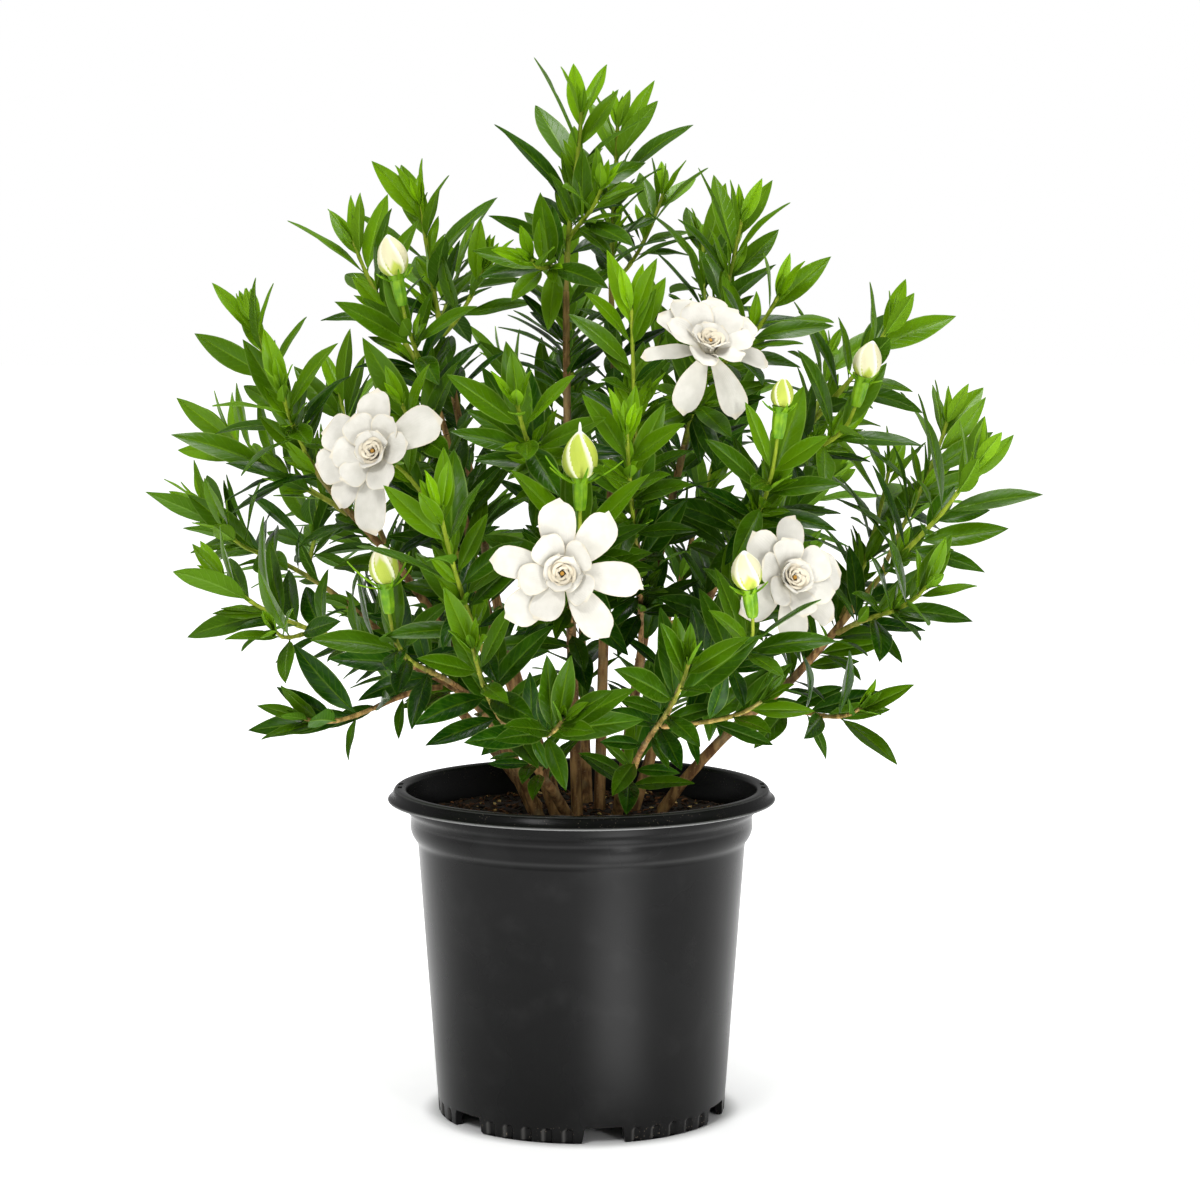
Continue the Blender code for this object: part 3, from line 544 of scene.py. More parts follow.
def faced_to_light(leaf, turned):
    """The same leaf, rolled about its midrib part of the way to the light on its side of the shrub."""
    outward = Vector((leaf.base.x, leaf.base.y, 0.0)) / CROWN_REACH
    light = UP * 0.55 + outward + Vector((0.0, -0.55, 0.0))
    goal = light - leaf.along * light.dot(leaf.along)
    if goal.length < 0.15:
        return leaf
    up = leaf.up.lerp(goal.normalized(), turned)
    up = (up - leaf.along * up.dot(leaf.along)).normalized()
    return replace(leaf, up=up)


def kept_off_rim(leaf):
    """The same leaf, or a smaller one where its tip would hang down to the pot's rim."""
    if leaf.frame(1.0)[0].z > POT_HEIGHT + RIM_MARGIN:
        return leaf
    return replace(leaf, length=leaf.length * LOW_LEAF_SIZE, width=leaf.width * LOW_LEAF_SIZE)


def covers_bloom(leaf):
    """Whether a leaf stands before a flower or bud, as seen from the front of the shrub."""
    for centre in BLOOM_CENTRES:
        for share in (0.25, 0.5, 0.75):
            gap = leaf.frame(share)[0] - centre
            if gap.y < 0.0 and math.hypot(gap.x, gap.z) < BLOOM_SPACE:
                return True
    return False


def azimuth_of(route, leaf):
    """The angle about a twig at which a leaf leaves it."""
    _, way, side = route.at(leaf.place)
    return math.atan2(leaf.along.dot(way.cross(side)), leaf.along.dot(side))


def add_small_growth(rng, room, twig):
    """Tufts in the leaf axils and leaves between the planned pairs, as (leaf, tone)."""
    extras = []
    route = twig.route
    for leaf in twig.leaves:
        if leaf.order < TUFT_ORDER or leaf.base.z < LOWEST_EXTRA or rng.random() > TUFT_CHANCE:
            continue
        azimuth = azimuth_of(route, leaf)
        for turn in TUFT_TURNS:
            place = leaf.place + rng.uniform(0.001, 0.004)
            youth = rng.uniform(0.42, 0.72)
            small = plan_leaf(rng, room, route, twig.radius(place), place, azimuth + turn, 1, youth)
            if small and not covers_bloom(small):
                extras.append((small, rng.uniform(0.45, 0.9)))
    place = route.length - BETWEEN_START
    while place > 0.1 * route.length + 0.006 and route.at(place)[0].z > LOWEST_EXTRA:
        if all(abs(place - leaf.place) > BETWEEN_SPACE for leaf in twig.leaves):
            azimuth = rng.uniform(0, 2 * math.pi)
            for turn in (0.0, math.pi):
                youth = rng.uniform(0.5, 0.9)
                extra = plan_leaf(rng, room, route, twig.radius(place), place, azimuth + turn, 3, youth)
                if extra and not covers_bloom(extra):
                    # darker tone: painted shade on leaves inside the crown
                    extras.append((extra, rng.uniform(0.1, 0.5)))
        place -= BETWEEN_STEP
    return extras


def add_cane_leaves(rng, room, cane):
    """Older leaves along the bare wood of a cane, kept dark both as old leaves and as painted shade inside
    the crown.
    """
    extras = []
    lowest, highest = CANE_LEAF_SPAN
    place = highest * cane.length
    azimuth = rng.uniform(0, 2 * math.pi)
    while place > lowest * cane.length:
        for turn in (0.0, math.pi, math.pi / 2):
            if rng.random() < CANE_LEAF_CHANCE:
                youth = rng.uniform(0.50, 0.95)
                leaf = plan_leaf(rng, room, cane, cane_radius(cane, place), place, azimuth + turn, 4, youth)
                if leaf and not covers_bloom(leaf):
                    # dark tone: older leaves, and painted shade inside the crown
                    extras.append((leaf, rng.uniform(0.0, 0.22)))
        azimuth += math.pi / 2 + rng.uniform(-0.4, 0.4)
        place -= rng.uniform(0.010, 0.016)
    return extras


def spear_leaves(rng, route):
    """The folded young leaves that end a shoot."""
    point, way, side = route.at(route.length - 0.002)
    across = way.cross(side)
    spears = []
    start = rng.uniform(0, 2 * math.pi)
    for index in range(SPEAR_COUNT):
        angle = start + index * math.pi / 2
        out = spoke(side, across, angle)
        open_angle = math.radians(rng.uniform(8, 15) if index < 2 else rng.uniform(20, 34))
        along = spoke(way, out, open_angle)
        up = way * math.sin(open_angle) - out * math.cos(open_angle)
        length = rng.uniform(0.017, 0.026) if index < 2 else rng.uniform(0.009, 0.015)
        base = point + out * 0.0006
        spears.append((Blade(base, along, up, length, length * 0.24, 0.12), rng.uniform(0.8, 1.0)))
    return spears


# ---------------------------------------------------------------- meshes
def add_object(name, data):
    """A new object in the scene."""
    thing = bpy.data.objects.new(name, data)
    bpy.context.scene.collection.objects.link(thing)
    return thing


class Skin:
    """A mesh under construction: corners with UV, tone and shade, and faces with a material."""

    def __init__(self):
        self.verts, self.uvs, self.tones, self.shades = [], [], [], []
        self.faces, self.slots = [], []

    def add_ring(self, ring, uvs, tone, shade):
        """Add corners that share a tone and a shade."""
        self.verts += ring
        self.uvs += uvs
        self.tones += [tone] * len(ring)
        self.shades += [shade] * len(ring)

    def loft(self, rings, uvs, tones, shade, slots, tail, tip):
        """Skin a row of closed rings, and close each end with a point."""
        first = len(self.verts)
        count = len(rings[0])
        for ring, ring_uvs, tone in zip(rings, uvs, tones):
            self.add_ring(ring, ring_uvs, tone, shade)
        self.faces += band_faces(first, len(rings) - 1, count)
        low = first + (len(rings) - 1) * count
        tail_at = len(self.verts)
        self.add_ring([tail], [uvs[0][count // 4]], tones[0], shade)
        self.faces += [(first + (k + 1) % count, first + k, tail_at) for k in range(count)]
        self.add_ring([tip], [uvs[-1][count // 4]], tones[-1], shade)
        self.faces += [(low + k, low + (k + 1) % count, tail_at + 1) for k in range(count)]
        self.slots += list(slots) * (len(rings) + 1)

    def build(self, name, materials, sharp=50):
        """Make the object, with edges sharper than an angle in degrees left sharp."""
        mesh = bpy.data.meshes.new(name)
        mesh.from_pydata(self.verts, [], self.faces)
        layer = mesh.uv_layers.new(name="growth_uv")
        spots = [0] * len(mesh.loops)
        mesh.loops.foreach_get("vertex_index", spots)
        layer.data.foreach_set("uv", [value for spot in spots for value in self.uvs[spot]])
        for label, values in (("tone", self.tones), ("shade", self.shades)):
            mesh.attributes.new(label, "FLOAT", "POINT").data.foreach_set("value", values)
        for material in materials:
            mesh.materials.append(material)
        mesh.polygons.foreach_set("material_index", self.slots)
        mesh.shade_smooth()
        mesh.set_sharp_from_angle(angle=math.radians(sharp))
        return add_object(name, mesh)


def add_sheet(skin, surface, us, vs, thickness, tone, shade, slots=(0, 0), tip=None):
    """A thin closed body on a surface given as a function of u, base to tip, and v, right to left."""
    top = [[surface(u, v) for v in vs] for u in us]
    last = len(us) - 1
    rings, uvs = [], []
    for i, row in enumerate(top):
        below, below_uvs = [], []
        for j in range(len(vs) - 2, 0, -1):
            du = top[min(i + 1, last)][j] - top[max(i - 1, 0)][j]
            dv = row[j + 1] - row[j - 1]
            below.append(row[j] + du.cross(dv).normalized() * thickness)
            below_uvs.append((vs[j] * 0.5 + 0.5, us[i]))
        rings.append(row + below)
        uvs.append([(v * 0.5 + 0.5, us[i]) for v in vs] + below_uvs)
    upper = len(vs) - 1
    ring_slots = [slots[0]] * upper + [slots[1]] * (len(rings[0]) - upper)
    tail = sum(rings[0], Vector()) / len(rings[0])
    end = tip if tip is not None else sum(rings[-1], Vector()) / len(rings[-1])
    skin.loft(rings, uvs, [tone] * len(rings), shade, ring_slots, tail, end)


LEAF_STATIONS = [0.0, 0.03, 0.07, 0.12, 0.19, 0.28, 0.38, 0.48, 0.58, 0.68, 0.78, 0.87, 0.94, 0.98]
LEAF_ACROSS = [1.0, 0.55, 0.12, 0.0, -0.12, -0.55, -1.0]
PETIOLE = 0.07              # share of a leaf that is its stalk
PETIOLE_SHARE = 0.10        # width of the stalk over the leaf's
LEAF_PEAK = 0.2902          # greatest value of the outline's curve
LEAF_FULLNESS = 1.14        # of the real outline over the plain one of the CAD
BLADE_THICKNESS = 0.00035
MARGIN_WAVE = 0.0005
MIDRIB_GROOVE = 0.0003
STEM_STEP = 0.006           # between the rings of a stem
NODE_SWELL = 0.22           # of a stem where leaves leave it
NODE_SPREAD = 0.0016
GREEN_LENGTH = 0.14         # over which a shoot turns from green to brown


def leaf_outline(u):
    """Half-width of a leaf at fraction u, over its greatest half-width."""
    t = max(0.0, (u - PETIOLE) / (1 - PETIOLE))
    return max(PETIOLE_SHARE * min(1.0, (1 - u) * 6), t ** 0.8 * (1 - t) / LEAF_PEAK)


def add_leaf(skin, leaf, look):
    """A creased, gently waved leaf on the arc of its plan."""
    reach = look.sweep * leaf.length
    leaf = edge_on(leaf) if covers_bloom(leaf) else faced_to_light(leaf, look.turned)

    def surface(u, v):
        centre, _, side, up = leaf.frame(u)
        turn = look.twist * (u - 0.2)
        side, up = spoke(side, up, turn), spoke(up, -side, turn)
        half = LEAF_FULLNESS * leaf.width / 2 * leaf_outline(u)
        wide = abs(v)
        lift = half * (0.24 * wide - 0.10 * wide * wide)
        wave = look.ripple * MARGIN_WAVE * wide * wide * math.sin(u * 12 + look.phase + (1.2 if v > 0 else 0))
        wave *= min(1.0, half / 0.005)
        groove = -MIDRIB_GROOVE if v == 0.0 and u > PETIOLE else 0.0
        return centre + side * (half * v + reach * u * u) + up * (lift + wave + groove)

    add_sheet(skin, surface, LEAF_STATIONS, LEAF_ACROSS, BLADE_THICKNESS, look.tone, look.shade, (0, 1),
              surface(1.0, 0.0))


def add_stem(skin, route, radius_at, tone_at, nodes, start=None, sides=8):
    """A round stem along a route, swollen at its leaf nodes."""
    steps = max(4, int(route.length / STEM_STEP))
    places = sorted([route.length * i / steps for i in range(steps + 1)] + list(nodes))
    rings, uvs, tones = [], [], []
    if start is not None:
        places = [None] + places
    for place in places:
        centre, way, side = route.at(place or 0.0)
        if place is None:
            centre = start
            place = 0.0
        near = min([abs(place - node) for node in nodes], default=1.0)
        radius = radius_at(place) * (1 + NODE_SWELL * math.exp(-(near / NODE_SPREAD) ** 2))
        rings.append(round_ring(centre, side, way.cross(side), radius, sides))
        uvs.append([(k / sides, place * 20) for k in range(sides)])
        tones.append(tone_at(place))
    skin.loft(rings, uvs, tones, 0.5, [0] * sides, sum(rings[0], Vector()) / sides,
              route.points[-1] + route.ways[-1] * 0.0005)


def wood_tone(route, place):
    """1 on the green end of a shoot, falling to 0 on its brown foot."""
    from_tip = route.length - place
    return clamp(1.25 - from_tip / GREEN_LENGTH)


# ---------------------------------------------------------------- flowers and buds
PETAL_US = [0.0, 0.08, 0.18, 0.29, 0.40, 0.51, 0.62, 0.72, 0.81, 0.88, 0.94, 0.98]
PETAL_VS = [1.0, 0.72, 0.42, 0.14, -0.14, -0.42, -0.72, -1.0]
PETAL_WIDEST = 0.70         # fraction of its length at which a petal is widest
PETAL_THICKNESS = 0.00045
ROSETTE_THICKNESS = 0.0004
PETALS_LEAVE = 0.90         # share of the tube's length at which the petals leave it
HUB = 0.004                 # from there to the foot of the rosette
# The outer petals of each flower, two whorls, as (azimuth in degrees anticlockwise from the
# right as seen from in front, lift in degrees, length, width, backward bend).
OUTER_PETALS = {
    "flower_front": [
        (97, 14, 0.045, 0.0245, 0.45), (47, 12, 0.046, 0.0235, 0.45), (-4, 12, 0.049, 0.0225, 0.40),
        (-55, 12, 0.047, 0.0225, 0.45), (-137, 10, 0.043, 0.0245, 0.50), (167, 12, 0.044, 0.0210, 0.45),
        (122, 32, 0.027, 0.023, 0.5), (190, 28, 0.029, 0.021, 0.5), (-114, 24, 0.033, 0.022, 0.5),
        (-38, 36, 0.025, 0.022, 0.5), (45, 38, 0.024, 0.022, 0.5),
    ],
    "flower_left": [
        (100, 10, 0.041, 0.024, 0.5), (155, 6, 0.041, 0.027, 0.6), (197, 0, 0.043, 0.026, 0.6),
        (230, -6, 0.041, 0.022, 0.5), (-92, -8, 0.050, 0.023, 0.5), (35, 0, 0.046, 0.027, 0.6),
        (128, 30, 0.028, 0.023, 0.5), (182, 24, 0.029, 0.022, 0.5), (62, 34, 0.027, 0.022, 0.5),
        (-62, 24, 0.029, 0.022, 0.5), (-128, 22, 0.027, 0.021, 0.5), (5, 28, 0.027, 0.022, 0.5),
    ],
    "flower_upper_right": [
        (-122, -34, 0.043, 0.0205, 0.4), (-63, -34, 0.045, 0.0215, 0.4), (182, -8, 0.041, 0.018, 0.5),
        (-6, -14, 0.041, 0.020, 0.5), (138, 12, 0.038, 0.024, 0.4), (108, 14, 0.041, 0.021, 0.4),
        (74, 14, 0.041, 0.022, 0.4), (36, 8, 0.038, 0.027, 0.5), (165, 30, 0.031, 0.022, 0.5),
        (112, 36, 0.031, 0.023, 0.4), (52, 34, 0.031, 0.025, 0.4), (0, 30, 0.029, 0.022, 0.5),
        (-60, 26, 0.027, 0.022, 0.5), (-120, 26, 0.027, 0.022, 0.5),
    ],
    "flower_lower_right": [
        (78, 6, 0.042, 0.020, 0.35), (8, 2, 0.040, 0.027, 0.6), (-45, 0, 0.038, 0.024, 0.6),
        (-95, 0, 0.037, 0.022, 0.5), (208, 0, 0.042, 0.022, 0.5), (132, 8, 0.037, 0.024, 0.5),
        (24, 30, 0.029, 0.025, 0.5), (-30, 28, 0.029, 0.025, 0.5), (-85, 26, 0.027, 0.022, 0.5),
        (160, 28, 0.027, 0.022, 0.5), (95, 32, 0.027, 0.022, 0.5), (-150, 26, 0.026, 0.021, 0.5),
    ],
}
# The inner whorls: count, lift, length, width, distance of the petals' foot from the axis.
INNER_WHORLS = [(5, 56, 0.0165, 0.0165, 0.0028)]
# The petals of the rosette: radius at the foot, radius at the top, height, half angle.
ROSETTE = [(0.0048, 0.0080, 0.0098, 1.05), (0.0036, 0.0056, 0.0104, 1.15), (0.0022, 0.0032, 0.0098, 1.3)]
ROSETTE_COUNT = 4
ROSETTE_US = [0.0, 0.15, 0.35, 0.55, 0.72, 0.86, 0.95, 1.0]
ROSETTE_VS = [1.0, 0.75, 0.5, 0.25, 0.0, -0.25, -0.5, -0.75, -1.0]


def petal_outline(u):
    """Half-width of an open petal at fraction u, over its greatest half-width."""
    if u < PETAL_WIDEST:
        return 0.24 + 0.76 * math.sin(math.pi / 2 * u / PETAL_WIDEST) ** 1.35
    return math.sqrt(max(0.0, 1 - ((u - PETAL_WIDEST) / (1 - PETAL_WIDEST)) ** 2.9))


def add_petal(skin, rng, base, out, facing, lift, length, width, bend):
    """A broad petal with a rounded, slightly pointed end and a gently waved margin."""
    angle = math.radians(lift) + bend / 2
    along = spoke(out, facing, angle)
    up = facing * math.cos(angle) - out * math.sin(angle)
    blade = Blade(base, along, up, length, width, bend)
    cup = rng.uniform(-0.12, 0.32)
    twist = rng.uniform(-0.25, 0.25)
    phase = rng.uniform(0, 2 * math.pi)
    lean = rng.choice((-1, 1)) * rng.uniform(0.2, 0.9)
    ripple = rng.uniform(0.6, 1.5) * 0.0011

    def surface(u, v):
        centre, _, side, up = blade.frame(u)
        turn = twist * u
        side, up = spoke(side, up, turn), spoke(up, -side, turn)
        half = width / 2 * petal_outline(u)
        rise = half * cup * v * v + ripple * v * v * math.sin(u * 9 + phase + (2.0 if v > 0 else 0.0)) * u
        crease = -0.0006 * math.exp(-(v / 0.18) ** 2) * (1 - u)
        return centre + side * (half * v + lean * 0.045 * length * u * u) + up * (rise + crease)

    centre, way, side, _ = blade.frame(0.995)
    tip = surface(1.0, 0.0) + side * (lean * 0.45 * width / 2) + way * (0.045 * length)
    add_sheet(skin, surface, PETAL_US, PETAL_VS, PETAL_THICKNESS, 0.0, rng.random(), (0, 0), tip)


def add_rosette_petal(skin, rng, axis, around, across, foot, middle, petal):
    """An inner petal wrapped round the flower's axis, one edge tucked under its neighbour."""
    low_radius, top_radius, height, half_angle = petal
    start = rng.uniform(-0.15, 0.15) + middle
    tall = height * rng.uniform(0.9, 1.1)

    def surface(u, v):
        angle = start - v * half_angle
        radius = low_radius + (top_radius - low_radius) * u ** 1.6 + 0.0009 * v
        radius += 0.0010 * max(0.0, u - 0.7) / 0.3 * (1 - v * v)
        rise = tall * u * (1 - 0.30 * abs(v) ** 2.5)
        out = spoke(around, across, angle)
        return foot + out * radius + axis * rise

    add_sheet(skin, surface, ROSETTE_US, ROSETTE_VS, -ROSETTE_THICKNESS, 0.35, rng.random())


def make_flower(name, rng, petal, green):
    """A double flower on its tube, and the calyx behind it."""
    base, facing = bloom_base(name)
    right = UP.cross(facing).normalized()
    above = facing.cross(right)
    mouth = base + facing * (TUBE_LENGTH * PETALS_LEAVE)
    skin = Skin()
    count = len(OUTER_PETALS[name])
    for index, (azimuth, lift, length, width, bend) in enumerate(OUTER_PETALS[name]):
        angle = math.radians(azimuth)
        out = spoke(right, above, angle)
        start = mouth + out * 0.0032 + facing * (0.0022 * index / count)
        add_petal(skin, rng, start, out, facing, lift, length, width, bend)
    for level, (number, lift, length, width, foot) in enumerate(INNER_WHORLS):
        turn = rng.uniform(0, 2 * math.pi)
        for index in range(number):
            angle = turn + 2 * math.pi * index / number + rng.uniform(-0.15, 0.15)
            out = spoke(right, above, angle)
            start = mouth + out * foot + facing * (0.0024 + 0.0008 * level)
            add_petal(skin, rng, start, out, facing, lift + rng.uniform(-6, 6),
                      length * rng.uniform(0.9, 1.1), width * rng.uniform(0.9, 1.1), 0.7)
    for level, ring in enumerate(ROSETTE):
        for index in range(ROSETTE_COUNT):
            middle = 2 * math.pi * index / ROSETTE_COUNT + level * 0.8
            add_rosette_petal(skin, rng, facing, right, above, mouth + facing * HUB, middle, ring)
    tube = Route([base, base + facing * TUBE_LENGTH * 0.5, mouth + facing * HUB])
    add_stem(skin, tube, lambda place: 0.0024 + 0.0022 * (place / tube.length) ** 3, lambda place: 0.0, [])
    throat = Route([mouth, mouth + facing * 0.006, mouth + facing * 0.0115])
    add_stem(skin, throat, lambda place: 0.0014, lambda place: 1.0, [])
    flower = skin.build(name + "_petals", [petal])
    calyx = Skin()
    add_calyx(calyx, rng, base, facing, 0.010, 0.0030, 0.014)
    return flower, calyx.build(name + "_calyx", [green])


def add_calyx(skin, rng, base, facing, length, radius, lobe_length):
    """A ribbed green tube with long thin lobes round its mouth."""
    side = facing.orthogonal().normalized()
    across = facing.cross(side)
    rings, uvs = [], []
    sides = CALYX_SIDES
    for share, size in CALYX_SECTION:
        ring, ring_uvs = [], []
        rib = CALYX_RIB * math.sin(math.pi * min(share, 1.0))
        for k in range(sides):
            angle = 2 * math.pi * k / sides
            ribbed = size * radius * (1 + rib * math.cos(CALYX_LOBES * angle))
            ring.append(base + facing * (share * length)
                        + spoke(side, across, angle) * ribbed)
            ring_uvs.append((k / sides, share))
        rings.append(ring)
        uvs.append(ring_uvs)
    skin.loft(rings, uvs, [0.85] * len(rings), 0.5, [0] * sides, base,
              base + facing * (length * 0.97))
    for index in range(CALYX_LOBES):
        angle = 2 * math.pi * index / CALYX_LOBES
        out = spoke(side, across, angle)
        spread = rng.uniform(0.95, 1.35)
        along = spoke(facing, out, spread).normalized()
        up = (facing - along * facing.dot(along)).normalized()
        reach = lobe_length * rng.uniform(0.75, 1.15)
        lobe = Blade(base + facing * (length * 0.86) + out * radius * 1.02, along, -up, reach, 0.0024,
                     rng.uniform(0.15, 0.6))

        def surface(u, v, lobe=lobe):
            centre, _, lobe_side, lobe_up = lobe.frame(u)
            half = 0.0013 * (1 - u) ** 0.6 + 0.0002
            return centre + lobe_side * (half * v) + lobe_up * (half * 0.3 * v * v)

        add_sheet(skin, surface, [0.0, 0.2, 0.45, 0.7, 0.9, 0.98], [1.0, 0.0, -1.0], 0.0007, 0.9, 0.5)


CALYX_LOBES = 6
CALYX_RIB = 0.13            # rise of a rib, over the radius
CALYX_SIDES = 36
LONG_LOBES = 0.026
SHORT_LOBES = 0.011
LONG_LOBED = ("bud_front", "bud_left")
BUD_SIDES = 90
CALYX_SECTION = [(0.0, 0.72), (0.10, 0.86), (0.30, 0.93), (0.55, 0.97), (0.80, 1.02), (0.95, 1.18),
                 (1.04, 1.34), (1.00, 1.22)]
BUD_OUTLINE = [(0.0, 0.42), (0.04, 0.60), (0.10, 0.77), (0.18, 0.90), (0.28, 0.98), (0.38, 1.0), (0.48, 0.99),
               (0.58, 0.94), (0.68, 0.85), (0.77, 0.72), (0.85, 0.56), (0.91, 0.42), (0.955, 0.29),
               (0.99, 0.18), (1.01, 0.11)]
BUD_POINT = [(1.07, 0.10), (1.14, 0.08), (1.20, 0.04)]      # the petal end that stands out of one
POINTED_BUD = "bud_front"
BUD_PETALS = 5
BUD_SHARE = 0.90            # of a bud's petals over their CAD length
BUD_SWIRL = 0.8             # radians that the petals of a bud turn from foot to tip
# How green each bud still is.
BUD_TONES = {"bud_front": 0.85, "bud_left": 0.55, "bud_upper_left": 0.16, "bud_right": 0.10,
             "bud_lower_right": 0.26, "bud_small": 1.0}


def make_bud(name, rng, petal, green):
    """A bud of wound petals with pale edges, on its calyx."""
    length = BUDS[name][2] * BUD_SHARE
    base, facing = bloom_base(name)
    side = facing.orthogonal().normalized()
    across = facing.cross(side)
    foot = base + facing * CALYX_LENGTH
    sides = BUD_SIDES
    skin = Skin()
    rings, uvs = [], []
    outline = BUD_OUTLINE + (BUD_POINT if name == POINTED_BUD else [])
    for share, size in outline:
        ring, ring_uvs = [], []
        for k in range(sides):
            angle = 2 * math.pi * k / sides
            step = (k / sides * BUD_PETALS + share * BUD_SWIRL * BUD_PETALS / (2 * math.pi)) % 1.0
            ridge = 0.10 * step ** 1.5 * math.sin(math.pi * min(share + 0.10, 1.0))
            radius = BUD_FATNESS * length * size * (0.93 + ridge)
            ring.append(foot + facing * (share * length)
                        + spoke(side, across, angle) * radius)
            ring_uvs.append((step, share))
        rings.append(ring)
        uvs.append(ring_uvs)
    skin.loft(rings, uvs, [BUD_TONES[name]] * len(rings), 0.5, [0] * sides, foot,
              foot + facing * (length * (outline[-1][0] + 0.015)))
    bud = skin.build(name + "_petals", [petal], 35)
    calyx = Skin()
    lobes = LONG_LOBES if name in LONG_LOBED else SHORT_LOBES
    add_calyx(calyx, rng, base, facing, CALYX_LENGTH, CALYX_RADIUS, lobes)
    return bud, calyx.build(name + "_calyx", [green])


# ---------------------------------------------------------------- pot and soil
POT_COLUMNS = 720
# Half section of the pot in millimetres: from the middle of its floor up the inside, over the
# rolled lip, and down the outside to the foot ring.
POT_SECTION = [
    (0.0, 15.0), (60.0, 15.0), (97.0, 15.0), (101.0, 15.6), (102.4, 18.0), (108.6, 105.0), (115.4, 195.0),
    (116.6, 198.5), (119.0, 202.6), (119.8, 206.0), (120.2, 211.0), (121.6, 217.0), (123.6, 224.0),
    (125.2, 229.5), (125.7, 232.5), (126.1, 234.3), (127.0, 235.3), (128.2, 235.8), (128.9, 235.95),
    (129.1, 236.0), (130.6, 236.0), (131.9, 235.95), (132.1, 235.9), (133.2, 235.6), (134.2, 234.9),
    (134.9, 233.8), (135.5, 232.3), (136.4, 230.6), (137.6, 229.1), (138.6, 228.3), (139.1, 227.7),
    (139.0, 227.2), (138.4, 227.2), (137.0, 228.4), (135.4, 230.2), (133.8, 231.6), (131.5, 232.1),
    (129.2, 231.4), (127.8, 229.6), (127.2, 227.4), (126.9, 225.0), (126.7, 222.6), (126.2, 220.8),
    (125.2, 219.4), (123.9, 218.2), (123.0, 216.6), (122.6, 214.6), (122.7, 212.0), (122.9, 209.6),
    (122.9, 207.2), (122.5, 204.8), (121.7, 202.6), (120.5, 200.4), (119.2, 198.6), (118.2, 197.0),
    (117.7, 195.6),
    (117.5, 194.0), (117.2, 190.0), (112.8, 130.0), (108.2, 68.0), (104.6, 18.0), (104.2, 12.5),
    (104.1, 11.0), (104.1, 10.0), (104.0, 9.2), (104.0, 8.4), (103.9, 7.4), (103.8, 6.0), (103.7, 4.5),
    (103.6, 3.0), (103.5, 1.8), (103.2, 0.9), (102.6, 0.3), (101.6, 0.0), (99.6, 0.0), (98.8, 0.4),
    (98.4, 1.4), (98.4, 6.0), (98.4, 11.5), (97.6, 12.5), (60.0, 12.5), (0.0, 12.5),
]
NOTCH_HALF = math.radians(8.0)
NOTCH_TOP = 11.4            # lengths of the pot's foot and rim are in millimetres
NOTCH_SOFTNESS = math.radians(2.4)
GROOVE_PITCH = math.radians(8.2)
GROOVE_HALF = math.radians(2.1)
GROOVE_DEPTH = 1.9
GROOVE_TOP = 10.6
HANGER_ANGLES = [math.radians(a) for a in (-3.2, 3.2, 176.8, 183.2)]
HANGER_HALF = math.radians(1.5)
HANGER_DEPTH = 3.5
CREST_INSIDE = 129.0
CREST_OUTSIDE = 132.0
CREST_HEIGHT = 235.5
FOOT_INSIDE = 98
GROOVED_WALL = 103


def from_notch(angle):
    """Angle to the middle of the nearest notch."""
    pitch = 2 * math.pi / NOTCH_COUNT
    turn = (angle + math.pi / 2 - NOTCH_TURN) % pitch
    return min(turn, pitch - turn)


def hem_height(angle):
    """Height of the foot's lower edge in millimetres: 0 on a lobe, up in a notch."""
    inside = (NOTCH_HALF - from_notch(angle)) / NOTCH_SOFTNESS + 0.5
    part = clamp(inside)
    if part < 0.5:
        return NOTCH_TOP * 0.5 * (2 * part) ** 4
    return NOTCH_TOP * (1 - 0.5 * (2 - 2 * part) ** 4)


def groove_depth(angle, height):
    """How far the five upright grooves of a lobe cut in, in millimetres."""
    pitch = 2 * math.pi / NOTCH_COUNT
    offset = (angle + math.pi / 2 - NOTCH_TURN) % pitch - pitch / 2
    nearest = clamp(round(offset / GROOVE_PITCH), -2, 2)
    wall = 1 - abs(offset - nearest * GROOVE_PITCH) / GROOVE_HALF
    if wall <= 0:
        return 0.0
    wall = min(1.0, wall / 0.6)
    arch = min(1.0, max(0.0, (GROOVE_TOP - (1 - wall) * 2.0 - height) / 1.0))
    return GROOVE_DEPTH * wall * wall * (3 - 2 * wall) * arch


def groove_highlight(angle, height):
    """1 on the painted highlight along one edge of a groove, 0 elsewhere."""
    if height > GROOVE_TOP + 1.0 or height < 1.0:
        return 0.0
    depth = groove_depth(angle, height) / GROOVE_DEPTH
    near = groove_depth(angle + GROOVE_HALF * 0.45, height) / GROOVE_DEPTH
    return max(0.0, near - depth)


def in_hanger_slot(angle):
    """Whether an angle falls in one of the slots in the rim's crest."""
    return any(abs((angle - slot + math.pi) % (2 * math.pi) - math.pi) < HANGER_HALF
               for slot in HANGER_ANGLES)


